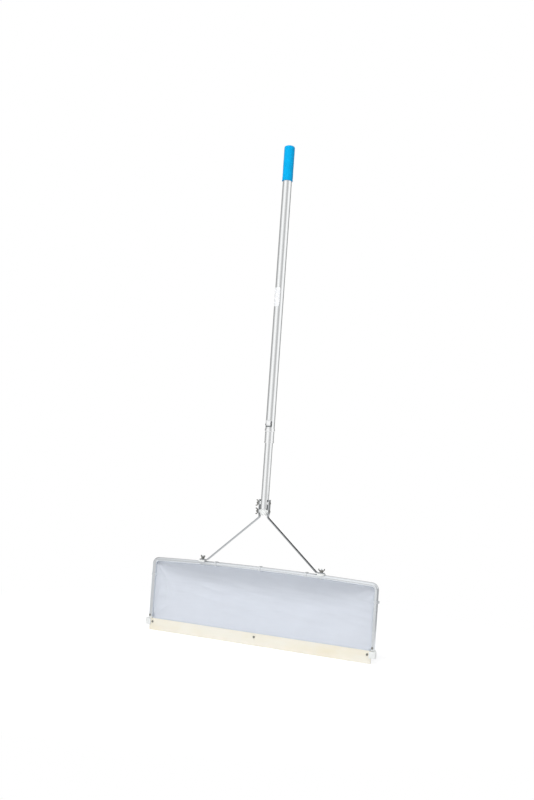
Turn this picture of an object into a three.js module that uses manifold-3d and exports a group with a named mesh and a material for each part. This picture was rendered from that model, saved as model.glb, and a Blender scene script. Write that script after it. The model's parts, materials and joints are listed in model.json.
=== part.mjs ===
import * as THREE from 'three';
import { mergeVertices } from 'three/addons/utils/BufferGeometryUtils.js';
import Module from 'manifold-3d';

// Court squeegee: a telescopic aluminium handle, a two-armed yoke, a bent pipe frame
// with a hung sheet that scoops the water, and a rubber blade along the lower edge.
// Millimetres, +Z up along the handle. The origin is the middle of the blade's lower
// edge, +X runs along the blade, and -Y is the front, the side that the water meets.

// Clearances
const seatGap = 0.3; // between pieces that touch or turn on each other
const cutOverrun = 2; // how far a cutter runs past the faces that it opens

// Frame
const legSpacing = 760; // between the two leg axes
const topBarHeight = 221; // top bar axis at its ends, above the blade's edge
const topBarBow = 7; // the bar's middle above its ends
const topBarRuns = 6; // straight runs that the bow is drawn with
const pipeDiameter = 13;
const pipeWall = 1.2;
const pipeBendRadius = 15; // of the pipe's axis
const legEndHeight = 40;

// Blade and the bar behind it
const bladeThickness = 5;
const bladeHeight = 36;
const bladeEndInset = 3; // short of the leg axis
const bladeEdgeRound = 0.8;
const bladeScrewDrop = 10.5; // below the blade's top edge
const bladeScrewEndInset = 10.5; // in from the blade's end
const barHeight = 24;
const barThickness = 4.8;

// Sheet
const sheetThickness = 0.8;
const sheetEdgeMargin = 3; // past the pipe's axis
const sheetBellyDepth = 40;
const sheetClampDepth = 20; // held between blade and bar
const sheetCrease = 0.6; // flat across the crease where it turns down behind the blade
const foldHeight = 3;
const foldReach = 120; // a fold fades over this distance from its corner
const foldCount = 9; // waves in a full turn round a corner

// Bands that tie the sheet to the pipe
const bandWidth = 7;
const bandThickness = 0.8;
const topBandSpacing = 155;
const legBandDrop = 48; // below the top bar's axis

// Shoes that join the legs to the bar
const shoeOuterReach = 8; // outside the leg's axis
const shoeInnerReach = 6.4;
const shoeBackReach = 6.7;
const shoeBottom = 14;
const shoeTopRise = 1.2; // body's top above the blade's
const shoeCornerRound = 2.4;
const shoeCollarDiameter = 12.4;
const shoeLugReach = 12.5; // ear past the blade's end, outside the leg's axis
const shoeCheekThickness = 3; // plate in front of the blade's end
const shoeCheekOverlap = 4.4; // of the plate over the blade
const shoeLugRise = 2; // lower edge above the body's
const shoeSpigotLength = 24;
const shoeTongueLength = 24;
const shoeTongueThickness = 3.6;
const shoeTongueMargin = 3; // short of the bar's top and bottom
const rivetDiameter = 3.2;
const rivetHeadDiameter = 7.2;
const rivetHeadHeight = 1.8;
const rivetRise = 4.5; // above the leg's end

// Yoke
const stayWidth = 10;
const stayThickness = 3;
const stayBendRadius = 8;
const yokeHeight = 401; // of the lower of the two bolts through the arms
const yokeBoltSpacing = 25;
const stayTopRise = 11; // above the upper bolt
const stayPinchDrop = 7.5; // below the lower bolt, where the arm starts to lean in
const stayPinch = 3.5; // how far it leans in
const stayShoulderDrop = 16.5; // below the lower bolt, where the arm turns outwards
const stayFootStart = 188; // from the middle, where the arm meets its foot
const stayFootEnd = 213;
const footBoltReach = 204;
const saddleCrown = 2.5; // thickness over the pipe
const saddleWidth = 16;
const saddleEndMargin = 2; // past the foot's end
const saddleStartMargin = 6; // short of the foot's bend

// Handle tubes
const upperTubeDiameter = 28;
const upperTubeWall = 1.2;
const upperTubeBottom = 647;
const upperTubeTop = 1530;
const lowerTubeDiameter = 24;
const lowerTubeWall = 1.3;
const lowerTubeEndRise = 7; // above the lower bolt
const lowerTubeTop = 1236;

// End plug, spacer pads and guide bush
const stayStandOff = 3; // from the tube's skin to each arm of the yoke
const plugDrop = 11; // below the lower bolt
const plugEdgeBevel = 1;
const plugSpigotLength = 34;
const padDiameter = 11;
const bushHeight = 30;
const bushCapHeight = 8;

// Bolts and nuts
const boltDiameter = 5;
const wingTipTilt = THREE.MathUtils.degToRad(22); // outer end of the tip's arc, below level
const wingTurns = { upper: 0.2, lower: -0.1, left: -0.36, right: 0.5 }; // radians, as left
const washerDiameter = 10;
const washerThickness = 1;
const boltStickOut = 1.5; // past its nut
const footBoltStickOut = 3.5; // past its wing nut
const domeHeadDiameter = 9.5;
const domeHeadHeight = 2.4;
const wingHubDiameter = 9.6;
const wingHubTopDiameter = 7.6;
const wingHubHeight = 6;
const wingSpan = 20;
const wingHeight = 10.2;
const wingThickness = 2;
const screwDiameter = 4;
const screwHeadDiameter = 8;
const screwHeadHeight = 2.4;
const screwNutAcrossFlats = 7;
const screwNutHeight = 3.2;

// Grip
const gripLength = 111;
const gripCrown = 4; // over the tube's end
const gripWall = 2;
const gripTopRound = 6;
const gripLipHeight = 3;
const gripLipProud = 0.5;

// Collar at the upper tube's mouth
const collarLength = 38; // below the tube's end
const collarLipHeight = 6; // cup that takes the tube's end
const collarLipDiameter = 30.6;
const collarFlareHeight = 4;
const collarFlareDiameter = 29.6;

// Lever lock
const lockRise = 17; // of the lever's pin above the tube's end
const lockTurn = THREE.MathUtils.degToRad(13); // from the front towards +X
const lockPinStandOff = 4.8; // from the tube's skin
const lockPinDiameter = 3;
const lockPinHeadDiameter = 5;
const lockPinHeadHeight = 1;
const lockEarThickness = 2;
const lockEarRadius = 4.6;
const lockPlateThickness = 1.8;
const lockPlateBelow = 7;
const lockPlateAbove = 11;
const leverWidth = 13;
const leverCamRadius = 3.9;
const leverArmLength = 14;
const leverArmThickness = 3.2;
const leverTipLift = 1.6;
const leverNoseWidth = 10;
const leverNoseThickness = 4.4;

// Blank sticker
const labelDrop = 443; // its top below the tube's top
const labelHeight = 59;
const labelThickness = 0.25;
const labelWrap = THREE.MathUtils.degToRad(98);
const labelTurn = THREE.MathUtils.degToRad(14); // from the front towards -X

// Facets round a full circle
const tubeSides = 36;
const pipeSides = 18;
const smallSides = 12;
const bendSteps = 5;

// Worked out from the sizes above
const pipeRadius = pipeDiameter / 2;
const pipeBore = pipeRadius - pipeWall;
const legX = legSpacing / 2;
const bladeHalf = legX - bladeEndInset;
const bladeBack = bladeThickness / 2;
const sheetClampMid = bladeBack + seatGap + sheetThickness / 2;
const barFront = sheetClampMid + sheetThickness / 2 + seatGap;
const barBack = barFront + barThickness;
const frameY = barFront + barThickness / 2; // plane of the legs, the yoke and the handle
const barBottom = bladeHeight - barHeight;
const barHalf = legX - shoeInnerReach - seatGap;
const tongueBack = barBack + seatGap + shoeTongueThickness;
const screwX = bladeHalf - bladeScrewEndInset;
const screwZ = bladeHeight - bladeScrewDrop;
const upperRadius = upperTubeDiameter / 2;
const upperBore = upperRadius - upperTubeWall;
const lowerRadius = lowerTubeDiameter / 2;
const lowerBore = lowerRadius - lowerTubeWall;
const boltRadius = boltDiameter / 2;
const boltHole = boltRadius + seatGap;
const footBarHeight = topBarHeight + bowAt(footBoltReach);
const footUnder = footBarHeight + pipeRadius + seatGap + saddleCrown;
const boltLevels = { lower: yokeHeight, upper: yokeHeight + yokeBoltSpacing };
const plugBottom = yokeHeight - plugDrop;
const lowerTubeBottom = yokeHeight + lowerTubeEndRise;
const stayInner = lowerRadius + stayStandOff;
const stayOuter = stayInner + stayThickness;
const pinDistance = upperRadius + lockPinStandOff;
const earOffset = leverWidth / 2 + seatGap;
const sheetBackMid = pipeRadius + seatGap + sheetThickness / 2;
const saddleSkirtRise = sheetEdgeMargin + seatGap; // clear of the sheet's upper edge
const gripTop = upperTubeTop + gripCrown;
const gripBottom = gripTop - gripLength;
const collarBottom = upperTubeBottom - collarLength;
const lockHeight = upperTubeBottom + lockRise;
const labelBottom = upperTubeTop - labelDrop - labelHeight;

// Height of the top bar's bow above its ends
function bowAt(x) {
  return topBarBow * Math.max(0, 1 - (x / (legX - pipeBendRadius)) ** 2);
}

const wasm = await Module();
wasm.setup();

// Closed mesh to solid and back, for joining and cutting
function solid(geometry) {
  const bare = geometry.index ? geometry.toNonIndexed() : geometry.clone();
  bare.deleteAttribute('normal');
  bare.deleteAttribute('uv');
  const merged = mergeVertices(bare);
  return new wasm.Manifold(new wasm.Mesh({
    numProp: 3,
    vertProperties: new Float32Array(merged.attributes.position.array),
    triVerts: new Uint32Array(merged.index.array),
  }));
}

function geometryOf(body) {
  const mesh = body.getMesh();
  const geometry = new THREE.BufferGeometry();
  geometry.setAttribute('position', new THREE.BufferAttribute(mesh.vertProperties, mesh.numProp));
  geometry.setIndex(new THREE.BufferAttribute(mesh.triVerts, 1));
  return geometry;
}

function cut(geometry, cutters) {
  const rest = cutters.reduce((body, cutter) => body.subtract(solid(cutter)), solid(geometry));
  return geometryOf(rest);
}

function join(geometries) {
  const bodies = geometries.map(solid);
  return geometryOf(bodies.slice(1).reduce((body, other) => body.add(other), bodies[0]));
}

// Basic forms, all standing on z = 0 or centred, ready to be turned and placed
function rod(radius, length, sides = smallSides) {
  const geometry = new THREE.CylinderGeometry(radius, radius, length, sides);
  geometry.rotateX(Math.PI / 2);
  geometry.translate(0, 0, length / 2);
  return geometry;
}

function hexRod(acrossFlats, length) {
  return rod(acrossFlats / 2 / Math.cos(Math.PI / 6), length, 6);
}

function turned(profile, sides) {
  const points = profile.map(([radius, height]) => new THREE.Vector2(radius, height));
  const geometry = new THREE.LatheGeometry(points, sides);
  geometry.rotateX(Math.PI / 2);
  return geometry;
}

function ring(outer, inner, length, sides = tubeSides) {
  return turned([[inner, 0], [outer, 0], [outer, length], [inner, length], [inner, 0]], sides);
}

function prism(shape, depth, curveSegments = bendSteps) {
  return new THREE.ExtrudeGeometry(shape, { depth, bevelEnabled: false, curveSegments });
}

function block(x0, x1, y0, y1, z0, z1) {
  const geometry = new THREE.BoxGeometry(x1 - x0, y1 - y0, z1 - z0);
  geometry.translate((x0 + x1) / 2, (y0 + y1) / 2, (z0 + z1) / 2);
  return geometry;
}

function roundedRectangle(halfWidth, halfHeight, radius) {
  const shape = new THREE.Shape();
  shape.moveTo(halfWidth - radius, -halfHeight);
  shape.absarc(halfWidth - radius, radius - halfHeight, radius, -Math.PI / 2, 0);
  shape.absarc(halfWidth - radius, halfHeight - radius, radius, 0, Math.PI / 2);
  shape.absarc(radius - halfWidth, halfHeight - radius, radius, Math.PI / 2, Math.PI);
  shape.absarc(radius - halfWidth, radius - halfHeight, radius, Math.PI, Math.PI * 1.5);
  return shape;
}

// Axis +Z turned to another axis
const alongX = new THREE.Matrix4().makeRotationY(Math.PI / 2);
const alongMinusX = new THREE.Matrix4().makeRotationY(-Math.PI / 2);
const alongY = new THREE.Matrix4().makeRotationX(-Math.PI / 2);

function moved(geometry, x, y, z) {
  return geometry.clone().translate(x, y, z);
}

// A section drawn as (distance in front of the tube's axis, height) and pulled along X
function sideProfile(shape, width) {
  const geometry = prism(shape, width);
  geometry.translate(0, 0, -width / 2);
  const front = new THREE.Vector3(0, -1, 0);
  const up = new THREE.Vector3(0, 0, 1);
  const across = new THREE.Vector3(-1, 0, 0);
  return geometry.applyMatrix4(new THREE.Matrix4().makeBasis(front, up, across));
}

// Points and directions along a path of straight runs joined by bends
function bentPath(corners, radius) {
  const stations = [];
  const first = corners[1].clone().sub(corners[0]).normalize();
  stations.push({ point: corners[0].clone(), along: first });
  for (let i = 1; i < corners.length - 1; i += 1) {
    const before = corners[i].clone().sub(corners[i - 1]).normalize();
    const after = corners[i + 1].clone().sub(corners[i]).normalize();
    const turn = Math.atan2(before.cross(after), before.dot(after));
    const setBack = radius * Math.tan(Math.abs(turn) / 2);
    const start = corners[i].clone().addScaledVector(before, -setBack);
    const inward = new THREE.Vector2(-before.y, before.x).multiplyScalar(Math.sign(turn));
    const centre = start.clone().addScaledVector(inward, radius);
    for (let step = 0; step <= bendSteps; step += 1) {
      const angle = (turn * step) / bendSteps;
      const spoke = inward.clone().multiplyScalar(-radius).rotateAround(new THREE.Vector2(), angle);
      const along = before.clone().rotateAround(new THREE.Vector2(), angle);
      stations.push({ point: centre.clone().add(spoke), along });
    }
  }
  const last = corners[corners.length - 1];
  const before = corners[corners.length - 2];
  stations.push({ point: last.clone(), along: last.clone().sub(before).normalize() });
  return stations;
}

// The same stations with the run after one of them split into equal steps
function splitRun(stations, index, steps) {
  const { point, along } = stations[index];
  const between = Array.from({ length: steps - 1 }, (none, i) => ({
    point: point.clone().lerp(stations[index + 1].point, (i + 1) / steps), along,
  }));
  return [...stations.slice(0, index + 1), ...between, ...stations.slice(index + 1)];
}

// Flat bar bent in the XZ plane, its width lying along Y
function bentStrip(corners, radius, thickness, width) {
  const sides = [1, -1].map((side) => bentPath(corners, radius).map(({ point, along }) => {
    const across = new THREE.Vector2(-along.y, along.x);
    return point.clone().addScaledVector(across, (side * thickness) / 2);
  }));
  const shape = new THREE.Shape([...sides[0], ...sides[1].reverse()]);
  const geometry = prism(shape, width);
  geometry.translate(0, 0, -width / 2);
  geometry.rotateX(Math.PI / 2);
  return geometry;
}

// Round pipe along stations in the XZ plane, open at both ends
function pipeAlong(stations, outer, inner) {
  const positions = [];
  const index = [];
  const at = (station, side, layer) => (station * 2 + layer) * pipeSides + (side % pipeSides);
  stations.forEach(({ point, along }) => {
    [outer, inner].forEach((radius) => {
      for (let side = 0; side < pipeSides; side += 1) {
        const angle = (2 * Math.PI * side) / pipeSides;
        const across = radius * Math.cos(angle);
        const x = point.x - along.y * across;
        positions.push(x, radius * Math.sin(angle), point.y + along.x * across + bowAt(x));
      }
    });
  });
  const quad = (a, b, c, d) => index.push(a, b, c, a, c, d);
  for (let side = 0; side < pipeSides; side += 1) {
    for (let i = 0; i < stations.length - 1; i += 1) {
      quad(at(i, side, 0), at(i + 1, side, 0), at(i + 1, side + 1, 0), at(i, side + 1, 0));
      quad(at(i, side + 1, 1), at(i + 1, side + 1, 1), at(i + 1, side, 1), at(i, side, 1));
    }
    const end = stations.length - 1;
    quad(at(0, side, 0), at(0, side + 1, 0), at(0, side + 1, 1), at(0, side, 1));
    quad(at(end, side, 1), at(end, side + 1, 1), at(end, side + 1, 0), at(end, side, 0));
  }
  const geometry = new THREE.BufferGeometry();
  geometry.setAttribute('position', new THREE.Float32BufferAttribute(positions, 3));
  geometry.setIndex(index);
  return geometry;
}

// Thin shell on both sides of a grid of points, rows running down and columns along +X
function shellOfGrid(rows, thickness) {
  const positions = [];
  const index = [];
  const last = { row: rows.length - 1, column: rows[0].length - 1 };
  const at = (row, column, back) => (row * (last.column + 1) + column) * 2 + back;
  rows.forEach((points, row) => points.forEach((point, column) => {
    const right = points[Math.min(column + 1, last.column)];
    const left = points[Math.max(column - 1, 0)];
    const below = rows[Math.min(row + 1, last.row)][column];
    const above = rows[Math.max(row - 1, 0)][column];
    const normal = right.clone().sub(left).cross(below.clone().sub(above)).normalize();
    const front = point.clone().addScaledVector(normal, -thickness / 2);
    const back = point.clone().addScaledVector(normal, thickness / 2);
    positions.push(...front.toArray(), ...back.toArray());
  }));
  const quad = (a, b, c, d) => index.push(a, b, c, a, c, d);
  for (let row = 0; row < last.row; row += 1) {
    for (let column = 0; column < last.column; column += 1) {
      const across = column + 1;
      quad(at(row, column, 0), at(row + 1, column, 0), at(row + 1, across, 0), at(row, across, 0));
      quad(at(row, column, 1), at(row, across, 1), at(row + 1, across, 1), at(row + 1, column, 1));
    }
    quad(at(row, 0, 0), at(row, 0, 1), at(row + 1, 0, 1), at(row + 1, 0, 0));
    const edge = last.column;
    quad(at(row, edge, 1), at(row, edge, 0), at(row + 1, edge, 0), at(row + 1, edge, 1));
  }
  for (let column = 0; column < last.column; column += 1) {
    const across = column + 1;
    quad(at(0, column, 0), at(0, across, 0), at(0, across, 1), at(0, column, 1));
    const foot = last.row;
    quad(at(foot, across, 0), at(foot, column, 0), at(foot, column, 1), at(foot, across, 1));
  }
  const geometry = new THREE.BufferGeometry();
  geometry.setAttribute('position', new THREE.Float32BufferAttribute(positions, 3));
  geometry.setIndex(index);
  return geometry;
}

// Finishes
function finish(color, roughness, metalness) {
  return { color, roughness, metalness };
}
const aluminium = finish('#d9dcde', 0.3, 1);
const zincSteel = finish('#9a9c9b', 0.4, 1);
const stayMetal = finish('#8b8d8e', 0.38, 1);
const blueVinyl = finish('#0fa9ea', 0.5, 0);
const whiteNylon = finish('#eef0ef', 0.45, 0);
const naturalRubber = finish('#f3eedc', 0.7, 0);
const coatedSheet = finish('#ccd3df', 0.6, 0);
const stickerWhite = finish('#f4f5f6', 0.5, 0);

const squeegee = new THREE.Group();
const lockGroup = new THREE.Group();
lockGroup.position.set(0, frameY, lockHeight);
lockGroup.rotation.z = lockTurn;
squeegee.add(lockGroup);
const places = ['left', 'middle', 'right'];
const sides = [['left', -1], ['right', 1]];

function add(name, geometry, look, place = [0, 0, 0]) {
  const mesh = new THREE.Mesh(geometry, new THREE.MeshStandardMaterial(look));
  mesh.name = name;
  mesh.position.set(...place);
  squeegee.add(mesh);
  return mesh;
}

// Blade: a flat rubber strip with a slightly rounded working edge
function makeBlade() {
  const section = new THREE.Shape();
  section.moveTo(-bladeBack, bladeHeight);
  section.lineTo(-bladeBack, bladeEdgeRound);
  section.absarc(bladeEdgeRound - bladeBack, bladeEdgeRound, bladeEdgeRound, Math.PI, 1.5 * Math.PI);
  section.absarc(bladeBack - bladeEdgeRound, bladeEdgeRound, bladeEdgeRound, -Math.PI / 2, 0);
  section.lineTo(bladeBack, bladeHeight);
  const strip = sideProfile(section, bladeHalf * 2);
  add('blade', cut(strip, screwHoles(-bladeBack, bladeBack)), naturalRubber);
}

function screwPlaces() {
  return [-screwX, 0, screwX];
}

function screwHoles(front, back) {
  return screwPlaces().map((x) => {
    const hole = rod(screwDiameter / 2 + seatGap, back - front + cutOverrun * 2);
    return hole.applyMatrix4(alongY).translate(x, front - cutOverrun, screwZ);
  });
}

// Flat bar that backs the blade
function makeBottomBar() {
  const bar = block(-barHalf, barHalf, barFront, barBack, barBottom, bladeHeight);
  add('bottom_bar', cut(bar, screwHoles(barFront, barBack)), aluminium);
}

// Screws from the front, with nuts behind the bar or behind the shoes' tongues
function makeBladeScrews() {
  screwPlaces().forEach((x, i) => {
    const seat = (x === 0 ? barBack : tongueBack) + seatGap;
    const tip = seat + screwNutHeight + boltStickOut;
    const reach = tip + bladeBack + seatGap;
    const shank = screwDiameter / 2;
    const head = screwHeadDiameter / 2;
    const screw = turned([
      [0, -reach], [shank, -reach], [shank, 0], [head, 0], [head, screwHeadHeight / 2],
      [screwHeadDiameter / 3, screwHeadHeight], [0, screwHeadHeight],
    ], smallSides).rotateX(Math.PI / 2);
    add(`blade_screw_${places[i]}`, screw, zincSteel, [x, -bladeBack - seatGap, screwZ]);
    const nut = cut(hexRod(screwNutAcrossFlats, screwNutHeight), [
      moved(rod(screwDiameter / 2 + seatGap, screwNutHeight + cutOverrun * 2), 0, 0, -cutOverrun),
    ]);
    add(`blade_nut_${places[i]}`, nut.applyMatrix4(alongY), zincSteel, [x, seat, screwZ]);
  });
}

// Shoe: body behind the blade's end, lug past it and over its front, spigot in the leg,
// tongue behind the bar
function makeShoe(name, side) {
  const bodyFront = bladeBack + seatGap;
  const bodyBack = frameY + shoeBackReach;
  const collarTop = legEndHeight - seatGap;
  const bodyTop = bladeHeight + shoeTopRise;
  const body = roundedPost(-shoeInnerReach, shoeOuterReach, bodyFront, bodyBack, shoeBottom, bodyTop);
  const lugStart = seatGap - bladeEndInset;
  const lugBack = bodyFront + shoeCornerRound;
  const lugBottom = shoeBottom + shoeLugRise;
  const lugTop = bladeHeight - shoeLugRise / 2;
  const cheekBack = -bladeBack - seatGap;
  const cheekFront = cheekBack - shoeCheekThickness;
  const cheekEnd = -bladeEndInset - shoeCheekOverlap;
  const lug = roundedPost(lugStart, shoeLugReach, cheekFront, lugBack, lugBottom, lugTop);
  const lugInside = lugStart + shoeCornerRound;
  const cheek = block(cheekEnd, lugInside, cheekFront, cheekBack, lugBottom, lugTop);
  const collarFoot = bladeHeight + seatGap;
  const collar = moved(rod(shoeCollarDiameter / 2, collarTop - collarFoot), 0, frameY, collarFoot);
  const spigotLength = shoeSpigotLength + cutOverrun;
  const spigot = moved(rod(pipeBore - seatGap, spigotLength), 0, frameY, collarTop - cutOverrun);
  const tongueEnd = -shoeInnerReach - shoeTongueLength;
  const tongueBase = barBottom + shoeTongueMargin;
  const tongueTop = bladeHeight - shoeTongueMargin;
  const tongue = block(tongueEnd, 0, barBack + seatGap, tongueBack, tongueBase, tongueTop);
  const screwHole = rod(screwDiameter / 2 + seatGap, tongueBack + cutOverrun).applyMatrix4(alongY);
  const rivetHole = rod(rivetDiameter / 2 + seatGap, pipeDiameter * 2).applyMatrix4(alongY);
  const whole = cut(join([body, lug, cheek, collar, spigot, tongue]), [
    moved(screwHole, screwX - legX, bladeBack, screwZ),
    moved(rivetHole, 0, frameY - pipeDiameter, legEndHeight + rivetRise),
  ]);
  if (side < 0) whole.applyMatrix4(mirrorX).index.array.reverse();
  add(name, whole, whiteNylon, [side * legX, 0, 0]);
}
const mirrorX = new THREE.Matrix4().makeScale(-1, 1, 1);

// Upright post of rounded plan between two corners
function roundedPost(x0, x1, y0, y1, z0, z1) {
  const plan = roundedRectangle((x1 - x0) / 2, (y1 - y0) / 2, shoeCornerRound);
  return moved(prism(plan, z1 - z0), (x0 + x1) / 2, (y0 + y1) / 2, z0);
}

// Rivets that hold each leg on its spigot, headed at the front and the back
function makeLegRivets() {
  const half = pipeRadius + seatGap;
  const headRadius = rivetHeadDiameter / 2;
  const shank = rivetDiameter / 2;
  const rivet = turned([
    [0, -half - rivetHeadHeight], [headRadius / 2, -half - rivetHeadHeight],
    [headRadius, -half - rivetHeadHeight / 3], [headRadius, -half], [shank, -half],
    [shank, half], [headRadius, half], [headRadius, half + rivetHeadHeight / 3],
    [headRadius / 2, half + rivetHeadHeight], [0, half + rivetHeadHeight],
  ], smallSides);
  rivet.applyMatrix4(alongY);
  const height = legEndHeight + rivetRise;
  sides.forEach(([name, side]) => {
    add(`leg_rivet_${name}`, rivet, zincSteel, [side * legX, frameY, height]);
  });
}

// Pipe frame: two legs and the top bar in one bent pipe, drilled for rivets and foot bolts
function makeFramePipe() {
  const corners = [
    new THREE.Vector2(-legX, legEndHeight), new THREE.Vector2(-legX, topBarHeight),
    new THREE.Vector2(legX, topBarHeight), new THREE.Vector2(legX, legEndHeight),
  ];
  const stations = bentPath(corners, pipeBendRadius);
  const pipe = pipeAlong(splitRun(stations, bendSteps + 1, topBarRuns), pipeRadius, pipeBore);
  const rivetHole = rod(rivetDiameter / 2 + seatGap, pipeDiameter * 2).applyMatrix4(alongY);
  const boltBore = rod(boltHole, pipeDiameter * 2);
  const holes = [];
  [-1, 1].forEach((side) => {
    holes.push(moved(rivetHole, side * legX, -pipeDiameter, legEndHeight + rivetRise));
    holes.push(moved(boltBore, side * footBoltReach, 0, footBarHeight - pipeDiameter));
  });
  add('frame_pipe', cut(pipe, holes), aluminium, [0, frameY, 0]);
}

// Section of a band: round in front of the pipe, square behind the sheet
function bandOutline(grow) {
  const half = pipeRadius + seatGap + grow;
  const back = pipeRadius + seatGap + sheetThickness + seatGap + grow;
  const outline = new THREE.Shape();
  outline.moveTo(-half, back);
  outline.lineTo(-half, 0);
  outline.absarc(0, 0, half, Math.PI, 2 * Math.PI);
  outline.lineTo(half, back);
  return outline;
}

function bandSolid(inside, outside, width) {
  const outer = prism(bandOutline(outside), width);
  const inner = moved(prism(bandOutline(inside), width + cutOverrun * 2), 0, 0, -cutOverrun);
  return moved(cut(outer, [inner]), 0, 0, -width / 2);
}

// The bands' places: along the top bar, and one on each leg
function placedBands(band) {
  const onTop = band.clone().applyMatrix4(new THREE.Matrix4().makeBasis(
    new THREE.Vector3(0, 0, -1), new THREE.Vector3(0, 1, 0), new THREE.Vector3(1, 0, 0),
  ));
  const bands = [-topBandSpacing, 0, topBandSpacing].map((x) => (
    moved(onTop, x, frameY, topBarHeight + bowAt(x))
  ));
  [-legX, legX].forEach((x) => bands.push(moved(band, x, frameY, topBarHeight - legBandDrop)));
  return bands;
}

function makeBands() {
  const names = ['top_left', 'top_middle', 'top_right', 'leg_left', 'leg_right'];
  placedBands(bandSolid(0, bandThickness, bandWidth)).forEach((band, i) => {
    add(`band_${names[i]}`, band, zincSteel);
  });
}

// Sheet: tied behind the pipe, bellied to the back, and clamped between blade and bar
const columnShares = [
  0, 0.12, 0.24, 0.36, 0.48, 0.58, 0.67, 0.75, 0.82, 0.88, 0.93, 0.966, 1,
];
const bellyRows = 12;
const bellySkewShare = 0.82; // below 1 it moves the deepest line down
const bellyFullnessShare = 0.9; // below 1 it fills the belly towards its edges
const sideSteepness = 5; // higher keeps the belly full nearer the legs

function sheetFold(x, z) {
  return [-1, 1].reduce((sum, side) => {
    const acrossRun = legX - side * x;
    const drop = topBarHeight - z;
    const angle = Math.atan2(drop, acrossRun);
    const away = Math.hypot(acrossRun, drop) / foldReach;
    return sum + foldHeight * Math.sin(foldCount * angle) * away * Math.exp(1 - away);
  }, 0);
}

function sheetRows() {
  const flatTop = topBarHeight - pipeRadius - bandThickness - sheetThickness;
  const neck = legEndHeight + pipeRadius; // below here the sheet is narrower than the frame
  const lip = bladeHeight + seatGap + sheetThickness / 2;
  const wide = legX + sheetEdgeMargin;
  const narrow = legX - pipeRadius - sheetEdgeMargin / 2;
  const backMid = frameY + sheetBackMid;
  const rows = [{ z: topBarHeight + sheetEdgeMargin, y: backMid, belly: 0, half: wide, bow: 1 }];
  for (let row = 0; row <= bellyRows; row += 1) {
    const share = row / bellyRows;
    const z = THREE.MathUtils.lerp(flatTop, neck, share);
    const belly = Math.sin(Math.PI * share ** (1 / bellySkewShare)) ** bellyFullnessShare;
    const last = row === bellyRows;
    rows.push({ z, y: backMid, belly: last ? 0 : belly, half: last ? narrow : wide, bow: 1 - share });
  }
  const overBar = barBack + sheetThickness;
  const foot = bladeHeight - sheetClampDepth;
  [
    [(backMid + overBar) / 2, (neck + lip) / 2], [overBar, lip + sheetThickness],
    [overBar - sheetThickness * 2, lip], [sheetClampMid + sheetCrease, lip],
    [sheetClampMid, lip - sheetCrease], [sheetClampMid, foot],
  ].forEach(([y, z]) => rows.push({ z, y, belly: 0, half: narrow, bow: 0 }));
  return rows;
}

function makeSheet() {
  const shares = [...columnShares.slice(1).reverse().map((share) => -share), ...columnShares];
  const bellyEnd = (legX - pipeRadius - sheetEdgeMargin) / (legX + sheetEdgeMargin);
  const grid = sheetRows().map(({ z, y, belly, half, bow }) => shares.map((share) => {
    const x = share * half;
    const inside = Math.max(0, 1 - (Math.abs(share) / bellyEnd) ** sideSteepness);
    const fold = sheetFold(x, z) * Math.min(1, 2 * belly * inside);
    return new THREE.Vector3(x, y + sheetBellyDepth * belly * inside + fold, z + bow * bowAt(x));
  }));
  const shell = shellOfGrid(grid, sheetThickness);
  const slots = placedBands(bandSolid(-seatGap, bandThickness + seatGap, bandWidth + seatGap * 2));
  const holes = screwHoles(0, barBack);
  add('sheet', cut(shell, [...slots, ...holes, ...cornerTrims()]), coatedSheet);
}

// Cutters that round the sheet's two upper corners like the pipe's bends
function cornerTrims() {
  const corner = pipeBendRadius + sheetEdgeMargin;
  const past = corner + cutOverrun;
  const reach = frameY + sheetBackMid + cutOverrun;
  const trim = new THREE.Shape();
  trim.moveTo(0, corner);
  trim.absarc(0, 0, corner, Math.PI / 2, 0, true);
  trim.lineTo(past, 0);
  trim.lineTo(past, past);
  trim.lineTo(0, past);
  const solidTrim = prism(trim, reach);
  solidTrim.rotateX(Math.PI / 2);
  const right = moved(solidTrim, legX - pipeBendRadius, reach + frameY, topBarHeight - pipeBendRadius);
  const left = right.clone().applyMatrix4(mirrorX);
  return [right, turnInsideOut(left)];
}

// Reverses every triangle of an unindexed geometry
function turnInsideOut(geometry) {
  const points = geometry.attributes.position;
  for (let i = 0; i < points.count; i += 3) {
    const kept = [points.getX(i), points.getY(i), points.getZ(i)];
    points.setXYZ(i, points.getX(i + 1), points.getY(i + 1), points.getZ(i + 1));
    points.setXYZ(i + 1, ...kept);
  }
  return geometry;
}

// Arm of the yoke: up beside the plug, out over the frame, and flat on its saddle
function makeStay(name, side) {
  const mid = stayInner + stayThickness / 2;
  const footMid = footUnder + stayThickness / 2;
  const corners = [
    new THREE.Vector2(mid, boltLevels.upper + stayTopRise),
    new THREE.Vector2(mid, yokeHeight - stayPinchDrop),
    new THREE.Vector2(mid - stayPinch, yokeHeight - stayShoulderDrop),
    new THREE.Vector2(stayFootStart, footMid), new THREE.Vector2(stayFootEnd, footMid),
  ];
  const mirrored = corners.map(({ x, y }) => new THREE.Vector2(side * x, y));
  const run = side > 0 ? mirrored : mirrored.reverse();
  const strip = bentStrip(run, stayBendRadius, stayThickness, stayWidth);
  const crossHole = rod(boltHole, stayOuter * 2 + cutOverrun * 2).applyMatrix4(alongX);
  const holes = Object.values(boltLevels).map((z) => moved(crossHole, -stayOuter - cutOverrun, 0, z));
  const footHole = rod(boltHole, stayThickness + cutOverrun * 2);
  holes.push(moved(footHole, side * footBoltReach, 0, footUnder - cutOverrun));
  add(name, cut(strip, holes), stayMetal, [0, frameY, 0]);
}

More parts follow.
